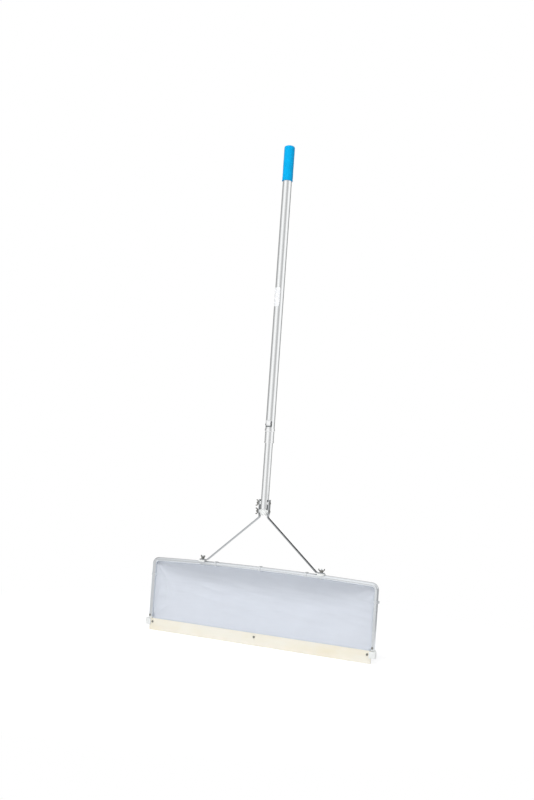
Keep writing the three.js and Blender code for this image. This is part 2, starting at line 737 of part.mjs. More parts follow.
// Saddle between the pipe and a foot: flat above, hollowed to the pipe below
function makeSaddle(name, side) {
  const length = stayFootEnd + saddleEndMargin - stayFootStart - saddleStartMargin;
  const section = new THREE.Shape();
  const shoulder = saddleCrown;
  const top = footUnder - footBarHeight;
  section.moveTo(-saddleWidth / 2, saddleSkirtRise);
  section.lineTo(saddleWidth / 2, saddleSkirtRise);
  section.lineTo(saddleWidth / 2, top - shoulder);
  section.lineTo(saddleWidth / 2 - shoulder, top);
  section.lineTo(shoulder - saddleWidth / 2, top);
  section.lineTo(-saddleWidth / 2, top - shoulder);
  const bar = prism(section, length).applyMatrix4(new THREE.Matrix4().makeBasis(
    new THREE.Vector3(0, 1, 0), new THREE.Vector3(0, 0, 1), new THREE.Vector3(1, 0, 0),
  ));
  const groove = rod(pipeRadius + seatGap, length + cutOverrun * 2, pipeSides).applyMatrix4(alongX);
  const bolt = rod(boltHole, top + cutOverrun);
  const start = side > 0 ? stayFootStart + saddleStartMargin : -stayFootEnd - saddleEndMargin;
  const saddle = cut(bar, [
    moved(groove, -cutOverrun, 0, 0), moved(bolt, side * footBoltReach - start, 0, 0),
  ]);
  add(name, saddle, whiteNylon, [start, frameY, footBarHeight]);
}

// Wing nut standing on z = 0 with its bore up Z and its wings along X
function wingNut() {
  const hub = turned([
    [0, 0], [wingHubDiameter / 2, 0], [wingHubTopDiameter / 2, wingHubHeight], [0, wingHubHeight],
  ], smallSides);
  const tip = wingHeight / 6; // radius of the rounded tip
  const root = wingHubHeight / 6; // the wings stand this far inside the hub's ends
  const wings = new THREE.Shape();
  wings.moveTo(0, root);
  wings.lineTo(wingHubDiameter / 2, root);
  wings.quadraticCurveTo(wingSpan / 3, root * 2, wingSpan / 2, wingHeight - tip * 2);
  wings.absarc(wingSpan / 2 - tip, wingHeight - tip, tip, -wingTipTilt, Math.PI);
  wings.quadraticCurveTo(wingSpan / 3, wingHubHeight, wingHubTopDiameter / 2, wingHubHeight - root);
  wings.lineTo(0, wingHubHeight - root);
  const plate = prism(wings, wingThickness);
  plate.translate(0, 0, -wingThickness / 2);
  plate.rotateX(Math.PI / 2);
  const opposite = plate.clone().rotateZ(Math.PI);
  const bore = rod(boltHole, wingHeight + cutOverrun * 2);
  return cut(join([hub, plate, opposite]), [moved(bore, 0, 0, -cutOverrun)]);
}

function washer() {
  return ring(washerDiameter / 2, boltHole, washerThickness, smallSides);
}

// Low-headed bolt standing on z = 0, its head below and its shank up Z
function domeBolt(length) {
  return turned([
    [0, -domeHeadHeight], [domeHeadDiameter / 4, -domeHeadHeight],
    [domeHeadDiameter / 2, -domeHeadHeight / 3], [domeHeadDiameter / 2, 0],
    [boltRadius, 0], [boltRadius, length], [0, length],
  ], smallSides);
}

// Through bolts of the yoke, heads at +X, with a washer and a wing nut at -X
function makeHandleBolts() {
  const headSeat = stayOuter + seatGap;
  const nutSeat = stayOuter + washerThickness + seatGap;
  const bolt = domeBolt(headSeat + nutSeat + wingHubHeight + boltStickOut).applyMatrix4(alongMinusX);
  const ring = washer().applyMatrix4(alongMinusX);
  Object.entries(boltLevels).forEach(([level, z]) => {
    add(`handle_bolt_${level}`, bolt, zincSteel, [headSeat, frameY, z]);
    add(`washer_${level}`, ring, zincSteel, [-stayOuter - seatGap / 2, frameY, z]);
    const nut = wingNut().rotateZ(wingTurns[level]).applyMatrix4(alongMinusX);
    add(`wing_nut_${level}`, nut, zincSteel, [-nutSeat, frameY, z]);
  });
}

// Foot bolts come up through the pipe, with a washer and a wing nut on each foot
function makeFootBolts() {
  const footTop = footUnder + stayThickness;
  const washerSeat = footTop + seatGap / 2;
  const nutSeat = footTop + washerThickness + seatGap;
  const under = footBarHeight - pipeRadius - seatGap;
  const bolt = domeBolt(nutSeat + wingHubHeight + footBoltStickOut - under);
  sides.forEach(([name, side]) => {
    const x = side * footBoltReach;
    add(`foot_bolt_${name}`, bolt, zincSteel, [x, frameY, under]);
    add(`foot_washer_${name}`, washer(), zincSteel, [x, frameY, washerSeat]);
    add(`wing_nut_${name}`, wingNut().rotateZ(wingTurns[name]), zincSteel, [x, frameY, nutSeat]);
  });
}

// Pads that fill the space between the round tube or plug and the flat arms
function makePads() {
  const reach = stayInner - seatGap / 2;
  const bolt = moved(rod(boltHole, reach * 2), 0, 0, -reach / 2);
  const disc = cut(rod(padDiameter / 2, reach), [bolt]).applyMatrix4(alongX);
  const tube = rod(lowerRadius + seatGap, padDiameter * 2, tubeSides);
  const right = cut(disc, [moved(tube, 0, 0, -padDiameter)]);
  Object.entries(boltLevels).forEach(([level, z]) => sides.forEach(([name, side]) => {
    const pad = side > 0 ? right : right.clone().rotateZ(Math.PI);
    add(`stay_pad_${level}_${name}`, pad, whiteNylon, [0, frameY, z]);
  }));
}

// Plug: a spigot in the tube's end and a head of the tube's own size below it
function makeEndPlug() {
  const headTop = lowerTubeBottom - seatGap;
  const spigot = lowerBore - seatGap;
  const plug = turned([
    [0, plugBottom], [lowerRadius - plugEdgeBevel, plugBottom],
    [lowerRadius, plugBottom + plugEdgeBevel], [lowerRadius, headTop], [spigot, headTop],
    [spigot, headTop + plugSpigotLength], [0, headTop + plugSpigotLength],
  ], tubeSides);
  const hole = rod(boltHole, lowerTubeDiameter + cutOverrun * 2).applyMatrix4(alongX);
  const holes = Object.values(boltLevels).map((z) => moved(hole, -lowerRadius - cutOverrun, 0, z));
  add('end_plug', cut(plug, holes), whiteNylon, [0, frameY, 0]);
}

function makeLowerTube() {
  const tube = ring(lowerRadius, lowerBore, lowerTubeTop - lowerTubeBottom);
  const hole = rod(boltHole, lowerTubeDiameter + cutOverrun * 2).applyMatrix4(alongX);
  const place = moved(hole, -lowerRadius - cutOverrun, 0, boltLevels.upper - lowerTubeBottom);
  add('lower_tube', cut(tube, [place]), aluminium, [0, frameY, lowerTubeBottom]);
}

// Bush on the lower tube's top: spigot inside, cap that slides in the upper tube
function makeGuideBush() {
  const capFoot = seatGap;
  const spigotLength = bushHeight - bushCapHeight;
  const spigot = lowerBore - seatGap;
  const cap = upperBore - seatGap;
  const wallIn = spigot - lowerTubeWall * 2;
  const bush = turned([
    [wallIn, -spigotLength], [spigot, -spigotLength], [spigot, capFoot], [cap, capFoot],
    [cap, bushCapHeight], [wallIn, bushCapHeight], [wallIn, -spigotLength],
  ], tubeSides);
  add('guide_bush', bush, whiteNylon, [0, frameY, lowerTubeTop]);
}

// Upper tube with the window that the lever's nose reaches through
function makeUpperTube() {
  const tube = ring(upperRadius, upperBore, upperTubeTop - upperTubeBottom);
  const window = lockWindow(leverNoseWidth).rotateZ(lockTurn);
  const place = moved(window, 0, 0, lockHeight - upperTubeBottom);
  add('upper_tube', cut(tube, [place]), aluminium, [0, frameY, upperTubeBottom]);
}

// Opening swept by the nose as the lever swings out, measured from the pin's height
function lockWindow(width) {
  const half = width / 2 + seatGap;
  const below = leverNoseThickness / 2 + cutOverrun / 2;
  const above = pinDistance - lowerRadius + seatGap;
  return block(-half, half, -pinDistance, -lowerRadius, -below, above);
}

function makeCollar() {
  const bore = lowerRadius + seatGap;
  const shoulder = upperTubeBottom - seatGap - collarBottom;
  const lipTop = shoulder + collarLipHeight;
  const chamfer = collarLipDiameter / 2 - upperRadius;
  const flare = collarFlareDiameter / 2;
  const collar = turned([
    [bore, 0], [flare, 0], [flare, collarFlareHeight - chamfer / 2],
    [upperRadius, collarFlareHeight], [upperRadius, shoulder - collarLipHeight / 2],
    [collarLipDiameter / 2, shoulder - collarLipHeight / 2 + chamfer],
    [collarLipDiameter / 2, lipTop], [upperRadius + seatGap, lipTop],
    [upperRadius + seatGap, shoulder], [bore, shoulder], [bore, 0],
  ], tubeSides);
  add('collar', collar, aluminium, [0, frameY, collarBottom]);
}

// Bracket of the lock: a plate saddled on the tube with an ear at each side of the lever
function makeLockBracket() {
  const outer = upperRadius + lockPlateThickness;
  const plateHalf = earOffset + lockEarThickness;
  const plate = block(-plateHalf, plateHalf, -outer, 0, -lockPlateBelow, lockPlateAbove);
  const seat = moved(
    rod(upperRadius + seatGap, (lockPlateBelow + lockPlateAbove) * 2, tubeSides), 0, 0, -lockPlateAbove * 2,
  );
  const ear = new THREE.Shape();
  ear.moveTo(upperRadius, -lockPlateBelow);
  ear.lineTo(outer, -lockPlateBelow);
  ear.lineTo(pinDistance, -lockEarRadius);
  ear.absarc(pinDistance, 0, lockEarRadius, -Math.PI / 2, Math.PI / 2);
  ear.lineTo(outer, lockPlateAbove);
  ear.lineTo(upperRadius, lockPlateAbove);
  const ears = [-1, 1].map((side) => (
    moved(sideProfile(ear, lockEarThickness), side * (earOffset + lockEarThickness / 2), 0, 0)
  ));
  const pinHole = rod(lockPinDiameter / 2 + seatGap, plateHalf * 4).applyMatrix4(alongX);
  const bracket = cut(join([plate, ...ears]), [
    seat, lockWindow(leverWidth), moved(pinHole, -plateHalf * 2, -pinDistance, 0),
  ]);
  lockGroup.add(add('lock_bracket', bracket, aluminium));
}

function makeLockPin() {
  const half = earOffset + lockEarThickness + seatGap;
  const head = lockPinHeadDiameter / 2;
  const end = half + lockPinHeadHeight;
  const radius = lockPinDiameter / 2;
  const pin = turned([
    [0, -end], [head, -end], [head, -half], [radius, -half],
    [radius, half], [head, half], [head, end], [0, end],
  ], smallSides);
  pin.applyMatrix4(alongX);
  lockGroup.add(add('lock_pin', pin, zincSteel, [0, -pinDistance, 0]));
}

// Lever: a round cam on the pin, a nose towards the lower tube, and a thumb arm upwards
function makeLockLever() {
  const arm = new THREE.Shape();
  const armIn = leverCamRadius - leverArmThickness;
  arm.absarc(0, 0, leverCamRadius, Math.PI, 2 * Math.PI);
  arm.lineTo(leverCamRadius, leverArmLength / 2);
  arm.quadraticCurveTo(
    leverCamRadius, leverArmLength - leverTipLift, leverCamRadius + leverTipLift, leverArmLength,
  );
  arm.lineTo(leverCamRadius + leverTipLift - leverArmThickness / 2, leverArmLength);
  arm.quadraticCurveTo(armIn, leverArmLength - leverTipLift, armIn, leverArmLength / 2);
  arm.lineTo(armIn, leverCamRadius);
  arm.absarc(0, 0, leverCamRadius, Math.PI / 2, Math.PI);
  const reach = pinDistance - lowerRadius - seatGap;
  const noseRound = leverNoseThickness / 2;
  const nose = new THREE.Shape();
  nose.moveTo(0, -noseRound);
  nose.lineTo(0, noseRound);
  nose.lineTo(noseRound - reach, noseRound);
  nose.absarc(noseRound - reach, 0, noseRound, Math.PI / 2, 1.5 * Math.PI);
  const pinHole = rod(lockPinDiameter / 2 + seatGap, leverWidth * 2).applyMatrix4(alongX);
  const lever = cut(join([sideProfile(arm, leverWidth), sideProfile(nose, leverNoseWidth)]), [
    moved(pinHole, -leverWidth, 0, 0),
  ]);
  lockGroup.add(add('lock_lever', lever, aluminium, [0, -pinDistance, 0]));
}

// Soft sleeve with a closed, rounded top and a small lip at its mouth
function makeGrip() {
  const bore = upperRadius + seatGap;
  const outer = bore + gripWall;
  const height = gripTop - gripBottom;
  const inside = upperTubeTop + seatGap - gripBottom;
  const profile = [
    [0, inside], [bore, inside], [bore, 0], [outer + gripLipProud, 0],
    [outer + gripLipProud, gripLipHeight], [outer, gripLipHeight + gripLipProud],
  ];
  for (let step = 0; step <= bendSteps; step += 1) {
    const angle = (Math.PI / 2) * (step / bendSteps);
    const shift = gripTopRound * (1 - Math.cos(angle));
    profile.push([outer - shift, height - gripTopRound + gripTopRound * Math.sin(angle)]);
  }
  profile.push([0, height]);
  add('grip', turned(profile, tubeSides), blueVinyl, [0, frameY, gripBottom]);
}

// Plain sticker wrapped round the tube's front
function makeLabel() {
  const inner = upperRadius + seatGap;
  const outer = inner + labelThickness;
  const middle = -Math.PI / 2 - labelTurn;
  const start = middle - labelWrap / 2;
  const end = middle + labelWrap / 2;
  const shape = new THREE.Shape();
  shape.absarc(0, 0, outer, start, end);
  shape.absarc(0, 0, inner, end, start, true);
  add('label_blank', prism(shape, labelHeight, smallSides), stickerWhite, [0, frameY, labelBottom]);
}

makeGrip();
makeUpperTube();
makeLabel();
makeCollar();
makeLockBracket();
makeLockPin();
makeLockLever();
makeLowerTube();
makeGuideBush();
makeEndPlug();
makePads();
makeStay('stay_left', -1);
makeStay('stay_right', 1);
makeHandleBolts();
makeFramePipe();
makeSaddle('foot_saddle_left', -1);
makeSaddle('foot_saddle_right', 1);
makeFootBolts();
makeShoe('leg_shoe_left', -1);
makeShoe('leg_shoe_right', 1);
makeLegRivets();
makeSheet();
makeBands();
makeBottomBar();
makeBlade();
makeBladeScrews();

export default squeegee;
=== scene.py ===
import json
import math

import bmesh
import bpy
from mathutils import Matrix, Vector, noise


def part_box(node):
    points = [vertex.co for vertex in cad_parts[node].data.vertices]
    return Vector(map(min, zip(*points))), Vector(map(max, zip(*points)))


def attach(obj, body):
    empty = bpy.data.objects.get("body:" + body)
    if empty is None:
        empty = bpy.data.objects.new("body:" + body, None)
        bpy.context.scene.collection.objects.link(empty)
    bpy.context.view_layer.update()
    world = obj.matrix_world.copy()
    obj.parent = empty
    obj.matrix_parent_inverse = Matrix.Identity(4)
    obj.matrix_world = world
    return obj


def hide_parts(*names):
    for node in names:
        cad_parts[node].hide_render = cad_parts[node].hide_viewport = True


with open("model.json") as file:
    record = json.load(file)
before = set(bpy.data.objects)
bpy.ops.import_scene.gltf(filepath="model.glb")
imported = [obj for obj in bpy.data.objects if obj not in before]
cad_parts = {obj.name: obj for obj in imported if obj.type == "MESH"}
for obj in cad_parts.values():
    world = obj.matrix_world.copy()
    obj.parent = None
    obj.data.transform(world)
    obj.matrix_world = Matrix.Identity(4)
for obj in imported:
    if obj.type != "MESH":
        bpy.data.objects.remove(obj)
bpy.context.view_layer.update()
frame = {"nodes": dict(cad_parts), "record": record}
solids = frame["nodes"]

MM = 0.001

# Places taken over from the CAD, in millimetres
LEG_X = 380.0
FRAME_Y = 6.3
BAR_Z = 221.0
BAR_BOW = 7.0
PIPE_RADIUS = 6.5
PIPE_WALL = 1.2
BEND_RADIUS = 15.0
ARC_X, ARC_Z = LEG_X - BEND_RADIUS, BAR_Z - BEND_RADIUS
LEG_END_Z = 40.0
BLADE_TOP = 36.0
BLADE_THICKNESS = 5.0
BLADE_HALF = 377.0
BAND_X = 155.0
LEG_BAND_Z = 173.0
SHEET_BACK_Y = 13.5

# Camera fitted to the photograph, in degrees, metres and pixels
YAW, PITCH, ROLL = 28.337, 4.187, 4.05
CAMERA_PLACE = (1.493092, -2.794234, 0.507283)
FOCAL_LENGTH, PHOTO_HEIGHT = 1041.328, 800
SENSOR_MM = 36


def set_camera():
    """Camera at the photograph's viewing angle, a little below the middle of the handle."""
    yaw, pitch, roll = (math.radians(angle) for angle in (YAW, PITCH, ROLL))
    forward = Vector((-math.sin(yaw) * math.cos(pitch), math.cos(yaw) * math.cos(pitch), math.sin(pitch)))
    level = Vector((math.cos(yaw), math.sin(yaw), 0))
    upright = level.cross(forward)
    right = math.cos(roll) * level + math.sin(roll) * upright
    up = math.cos(roll) * upright - math.sin(roll) * level
    lens = bpy.data.cameras.new("camera")
    lens.sensor_fit = "VERTICAL"
    lens.sensor_height = SENSOR_MM
    lens.lens = FOCAL_LENGTH * SENSOR_MM / PHOTO_HEIGHT
    lens.clip_end = 60
    camera = bpy.data.objects.new("camera", lens)
    turn = Matrix((right, up, -forward)).transposed().to_4x4()
    camera.matrix_world = Matrix.Translation(CAMERA_PLACE) @ turn
    bpy.context.collection.objects.link(camera)
    bpy.context.scene.camera = camera


set_camera()


# Small measures

def portion(value, start, end):
    """How far a value has come from start to end, held between 0 and 1."""
    return min(1.0, max(0.0, (value - start) / (end - start)))


def bow_at(x):
    """Height of the top bar's bow above its ends."""
    return BAR_BOW * max(0.0, 1 - (x / ARC_X) ** 2)


def rounded_corner(x, z, arc_x, arc_z):
    """Point near a square's corner, pulled in to the arc about (arc_x, arc_z). All four corners are alike."""
    out_x, out_z = abs(x) - arc_x, abs(z) - arc_z
    if out_x > 0 and out_z > 0:
        pull = max(out_x, out_z) / math.hypot(out_x, out_z)
        x = math.copysign(arc_x + out_x * pull, x)
        z = math.copysign(arc_z + out_z * pull, z)
    return x, z


# Nodes and colours

def hex_colour(code):
    """sRGB hex value as the linear colour that a shader takes."""
    parts = [int(code[i : i + 2], 16) / 255 for i in (1, 3, 5)]
    return tuple(c / 12.92 if c <= 0.04045 else ((c + 0.055) / 1.055) ** 2.4 for c in parts) + (1.0,)


def add_node(tree, kind, inputs=None, **settings):
    """Adds a node, sets its settings, and sets or links its inputs."""
    made = tree.nodes.new("ShaderNode" + kind)
    for key, value in settings.items():
        setattr(made, key, value)
    for key, value in (inputs or {}).items():
        if isinstance(value, bpy.types.NodeSocket):
            tree.links.new(value, made.inputs[key])
        else:
            made.inputs[key].default_value = value
    return made


def patches(tree, where, size_mm, detail, roughness, stretch=(1, 1, 1)):
    """Soft irregular patches of about this size, longer along the axes with a stretch under 1."""
    place = add_node(tree, "Mapping", {"Vector": where, "Scale": stretch})
    return add_node(tree, "TexNoise", {
        "Vector": place.outputs["Vector"], "Scale": 1 / (size_mm * MM),
        "Detail": detail, "Roughness": roughness,
    }).outputs["Fac"]


def finish(name, tone, rough, bumps, uv=None, **sockets):
    """Material whose colour, roughness and relief follow patterns in the object's own coordinates or its UV.

    A pattern is either the values that patches takes, size first, or a function of the tree and the coordinates.
    The tone is (pattern, hex, hex). Each roughness is (pattern, low, high), and they add up. Each bump is
    (pattern, depth in millimetres, strength), and lies over the one before it.
    """
    material = bpy.data.materials.new(name)
    material.use_nodes = True
    tree = material.node_tree
    shader = tree.nodes["Principled BSDF"]
    for key, value in sockets.items():
        shader.inputs[key.replace("_", " ")].default_value = value
    if uv:
        where = add_node(tree, "UVMap", uv_map=uv).outputs["UV"]
    else:
        where = add_node(tree, "TexCoord").outputs["Object"]
    made = {}

    def level(pattern):
        if pattern not in made:
            made[pattern] = pattern(tree, where) if callable(pattern) else patches(tree, where, *pattern)
        return made[pattern]

    pattern, first, second = tone
    colour = add_node(tree, "Mix", {
        "Factor": level(pattern), "A": hex_colour(first), "B": hex_colour(second),
    }, data_type="RGBA")
    tree.links.new(colour.outputs["Result"], shader.inputs["Base Color"])
    total = None
    for pattern, low, high in rough:
        inputs = {"Value": level(pattern), "To Min": low, "To Max": high}
        part = add_node(tree, "MapRange", inputs).outputs["Result"]
        if total is not None:
            part = add_node(tree, "Math", {0: total, 1: part}, operation="ADD").outputs["Value"]
        total = part
        tree.links.new(total, shader.inputs["Roughness"])
    under = None
    for pattern, depth_mm, strength in bumps:
        inputs = {"Height": level(pattern), "Distance": depth_mm * MM, "Strength": strength}
        if under is not None:
            inputs["Normal"] = under
        under = add_node(tree, "Bump", inputs).outputs["Normal"]
        tree.links.new(under, shader.inputs["Normal"])
    return material


# Finishes

def drawn_aluminium(name, along, tones=("#eceeef", "#f4f5f5")):
    """Clear anodised drawn aluminium: bright and satin, with fine die lines that run along it."""
    lines = (0.9, 2.0, 0.6, tuple(0.012 if axis == along else 1.0 for axis in "XYZ"))
    haze, marks = (60, 3.0, 0.5), (9, 6.0, 0.7)
    return finish(
        name, (haze, *tones), [(lines, 0.15, 0.25), (marks, -0.05, 0.07)], [(lines, 0.012, 1.0)], Metallic=1.0,
    )


def cast_aluminium():
    """Die-cast and tumbled aluminium: duller than the tube, with a fine orange-peel skin."""
    grain, haze = (0.5, 4.0, 0.6), (14, 3.0, 0.5)
    return finish(
        "cast_aluminium", (haze, "#eff0f1", "#f7f8f8"), [(grain, 0.2, 0.32)], [(grain, 0.015, 1.0)],
        Metallic=1.0,
    )


def zinc_plated_steel():
    """Bright zinc on steel: grey with a faint blue and yellow bloom, and small dull spots."""
    bloom, spots = (5, 2.0, 0.5), (1.2, 5.0, 0.65)
    return finish(
        "zinc_plated_steel", (bloom, "#7f8285", "#949186"), [(spots, 0.2, 0.42)], [(spots, 0.015, 1.0)],
        Metallic=1.0,
    )


def band_steel():
    """Thin bright steel strip bent round the pipe: pale and satin, with rolling marks."""
    marks = (1.5, 3.0, 0.6, (1.0, 0.2, 1.0))
    return finish(
        "bright_steel_band", (marks, "#dde1e5", "#e8ebed"), [(marks, 0.24, 0.4)], [(marks, 0.01, 1.0)],
        Metallic=1.0,
    )


def rolled_steel(name, tones):
    """Polished flat rolled steel: darker than the tube, with a lengthwise grain."""
    grain, haze = (0.7, 3.0, 0.6, (0.06, 1.0, 0.06)), (30, 3.0, 0.5)
    return finish(name, (haze, *tones), [(grain, 0.18, 0.34)], [(grain, 0.012, 1.0)], Metallic=1.0)


def dipped_vinyl():
    """Dipped soft vinyl: bright even blue, satin, with a fine skin and rubbed patches."""
    skin, rubbed = (0.8, 4.0, 0.6), (25, 4.0, 0.6)
    return finish(
        "dipped_vinyl", (rubbed, "#009fdc", "#00ace6"), [(rubbed, 0.42, 0.6)], [(skin, 0.03, 1.0)],
        IOR=1.5, Specular_IOR_Level=0.06,
    )


def white_nylon():
    """Moulded nylon: slightly waxy white, with a fine spark-eroded grain."""
    grain, haze = (0.7, 3.0, 0.6), (18, 4.0, 0.5)
    return finish(
        "white_nylon", (haze, "#e6e8e7", "#f1f3f2"), [(grain, 0.38, 0.52)], [(grain, 0.01, 1.0)], IOR=1.53,
    )


def natural_rubber():
    """Cut natural rubber strip: cream and matte, faintly streaked along its length, with aged yellow clouds."""
    streaks, clouds, skin = (6, 4.0, 0.6, (0.06, 1.0, 1.0)), (60, 4.0, 0.55, (0.4, 1.0, 1.0)), (0.9, 5.0, 0.65)
    material = finish(
        "natural_rubber", (streaks, "#f4f1e7", "#efebdf"), [(skin, 0.6, 0.78)],
        [(skin, 0.03, 1.0), (streaks, 0.06, 1.0)], IOR=1.52, Specular_IOR_Level=0.3,
    )
    tree = material.node_tree
    base = tree.nodes["Principled BSDF"].inputs["Base Color"]
    cloudy = patches(tree, add_node(tree, "TexCoord").outputs["Object"], *clouds)
    share = add_node(tree, "MapRange", {"Value": cloudy, "To Min": -0.5, "To Max": 0.75}).outputs["Result"]
    aged = add_node(tree, "Mix", {
        "Factor": share, "A": base.links[0].from_socket, "B": hex_colour("#ecdfbd"),
    }, data_type="RGBA", clamp_factor=True)
    tree.links.new(aged.outputs["Result"], base)
    return material


def weave(tree, where):
    """Plain weave of flat threads 1.6 mm apart, a little coarser than the real 1 mm so that they show."""
    thread_pitch, unit_period = 1.6 * MM, math.tau / 20
    warp, weft = (add_node(tree, "TexWave", {
        "Vector": where, "Scale": unit_period / (thread_pitch * 2),
    }, bands_direction=axis).outputs["Fac"] for axis in "XY")
    both = add_node(tree, "Math", {0: warp, 1: weft}, operation="MULTIPLY").outputs["Value"]
    either = add_node(tree, "Math", {0: warp, 1: weft}, operation="ADD").outputs["Value"]
    return add_node(tree, "Math", {0: both, 1: 2.0, 2: either}, operation="MULTIPLY_ADD").outputs["Value"]


def coated_tarpaulin():
    """Coated woven tarpaulin: pale blue grey, satin film over a plain weave of flat threads."""
    clouds, crease = (90, 4.0, 0.55), (35, 5.0, 0.6)
    return finish(
        "coated_tarpaulin", (clouds, "#ced3dc", "#d6dbe4"), [(crease, 0.42, 0.62)],
        [(crease, 0.5, 0.6), (weave, 0.03, 1.0)], uv="cut", IOR=1.48, Sheen_Weight=0.08, Sheen_Roughness=0.5,
    )


def sewing_thread():
    """Polyester sewing thread: pale grey, slightly glossy, twisted."""
    twist = (0.3, 2.0, 0.5)
    return finish(
        "sewing_thread", (twist, "#c2c8d2", "#dfe3ea"), [], [(twist, 0.03, 1.0)], IOR=1.5, Roughness=0.55,
    )


def sticker_film():
    """Plain printed film: smooth glossy white, with soft rubbed marks."""
    rub = (12, 5.0, 0.65)
    return finish(
        "sticker_film", (rub, "#e9ebee", "#f4f5f7"), [(rub, 0.25, 0.45)], [], IOR=1.5, Coat_Weight=0.3,
    )


tube_metal = drawn_aluminium("anodised_drawn_tube", "Z")
bar_metal = drawn_aluminium("anodised_flat_bar", "X")
pipe_metal = drawn_aluminium("anodised_bent_pipe", "Y", ("#dce0e4", "#e4e7ea"))
cast_metal = cast_aluminium()
zinc = zinc_plated_steel()
stay_metal = rolled_steel("rolled_steel_bar", ("#a3a6a9", "#b0b3b5"))
# Same rolled steel as the stays, painted darker as painted shade for the gaps beside the lock lever
bracket_steel_painted_shade = rolled_steel("pressed_steel_painted_shade", ("#7a7d80", "#878a8c"))
band_metal = band_steel()
vinyl = dipped_vinyl()
nylon = white_nylon()
rubber = natural_rubber()
tarpaulin = coated_tarpaulin()
thread = sewing_thread()
film = sticker_film()


# Pieces

SMOOTH_UNDER = math.radians(34)
FLAT_UNDER = math.radians(0.3)
SHARP_OVER = math.radians(40)


def body_of(source):
    return next(name for name, members in frame["record"]["behaviour"]["bodies"].items() if source in members)


def finished(name, mesh, material, body, sources=()):
    """Object of a piece that rides on a body and stands for CAD nodes."""
    for face in mesh.polygons:
        face.use_smooth = True
    mesh.set_sharp_from_angle(angle=SMOOTH_UNDER)
    mesh.materials.clear()
    mesh.materials.append(material)
    piece = bpy.data.objects.new(name, mesh)
    bpy.context.collection.objects.link(piece)
    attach(piece, body)
    if sources:
        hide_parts(*sources)
    return piece


def mesh_of(name, shape):
    mesh = bpy.data.meshes.new(name)
    shape.to_mesh(mesh)
    shape.free()
    return mesh


def weighted(piece):
    """Keeps wide flat faces flat beside their rounded edges."""
    even = piece.modifiers.new("even faces", "WEIGHTED_NORMAL")
    even.keep_sharp = True


def thickened(piece, name, thickness_mm):
    """Gives a surface its thickness, half to each side."""
    thick = piece.modifiers.new(name, "SOLIDIFY")
    thick.thickness = thickness_mm * MM
    thick.offset = 0


def dressed(source, material, edge_mm=0.0):
    """A CAD solid's merged copy, its sharp edges broken as a maker would, in its real finish."""
    shape = bmesh.new()
    shape.from_mesh(solids[source].data)
    bmesh.ops.remove_doubles(shape, verts=shape.verts, dist=2e-6)
    bmesh.ops.dissolve_limit(shape, angle_limit=FLAT_UNDER, verts=shape.verts, edges=shape.edges)
    if edge_mm:
        sharp = [e for e in shape.edges if len(e.link_faces) == 2 and e.calc_face_angle() > SHARP_OVER]
        bmesh.ops.bevel(
            shape, geom=sharp, offset=edge_mm * MM, segments=2, profile=0.5,
            affect="EDGES", material=-1, clamp_overlap=True,
        )
    name = source + "_finished"
    weighted(finished(name, mesh_of(name, shape), material, body_of(source), [source]))


def spun(profile, steps, closed=False):
    """Surface of a profile of (radius, height) in millimetres, turned about Z. A closed profile makes a ring."""
    shape = bmesh.new()
    corners = [shape.verts.new((radius * MM, 0, height * MM)) for radius, height in profile]
    ahead = corners[1:] + (corners[:1] if closed else [])
    edges = [shape.edges.new(pair) for pair in zip(corners, ahead)]
    bmesh.ops.spin(
        shape, geom=corners + edges, angle=math.tau, steps=steps, use_merge=True,
        axis=(0, 0, 1), cent=(0, 0, 0), dvec=(0, 0, 0),
    )
    bmesh.ops.remove_doubles(shape, verts=shape.verts, dist=1e-6)
    bmesh.ops.recalc_face_normals(shape, faces=shape.faces)
    return shape


def placed(shape, x, y, z, turn=None):
    """Shape turned about its origin and moved to a place in millimetres."""
    if turn is not None:
        bmesh.ops.transform(shape, verts=shape.verts, matrix=turn)
    bmesh.ops.translate(shape, verts=shape.verts, vec=Vector((x, y, z)) * MM)
    return shape


def cut_through(shape, place, normal, **options):
    """Cuts all of a shape along a plane, given in metres."""
    bmesh.ops.bisect_plane(
        shape, geom=shape.verts[:] + shape.edges[:] + shape.faces[:], plane_co=place, plane_no=normal, **options,
    )


# Grip: a dipped sleeve with a rolled mouth and a rounded closed end
def make_grip():
    bore, outer, bottom, top, end_round = 14.3, 16.3, 1423.0, 1534.0, 6.0
    bead, bead_width, bead_top = 0.1, 0.4, bottom + 4.2
    bead_round, hand_wave, skin_wave = 1.6, 0.12, 0.15
    profile = [(bore, bottom + 0.6), (bore + 0.3, bottom), (outer + bead, bottom)]
    profile += [
        (outer + bead + bead_width * math.sin(a), bottom + bead_round * (1 - math.cos(a)))
        for a in (math.radians(30 * i) for i in range(1, 6))
    ]
    profile += [(outer, bead_top)]
    profile += [(outer + hand_wave * math.sin(i * 1.7), bead_top + i * 10.0) for i in range(1, 10)]
    profile += [
        (outer - end_round * (1 - math.cos(a)), top - end_round + end_round * math.sin(a))
        for a in (math.radians(9 * i) for i in range(11))
    ]
    profile += [(5.0, top - 0.15), (0, top - 0.3)]
    shape = placed(spun(profile, 72), 0, FRAME_Y, 0)
    for corner in shape.verts:
        away = Vector((corner.co.x, corner.co.y - FRAME_Y * MM, 0))
        if away.length > 1e-6:
            corner.co += away.normalized() * noise.noise(corner.co * 60) * skin_wave * MM
    finished("grip_sleeve", mesh_of("grip_sleeve", shape), vinyl, "handle", ["grip"])


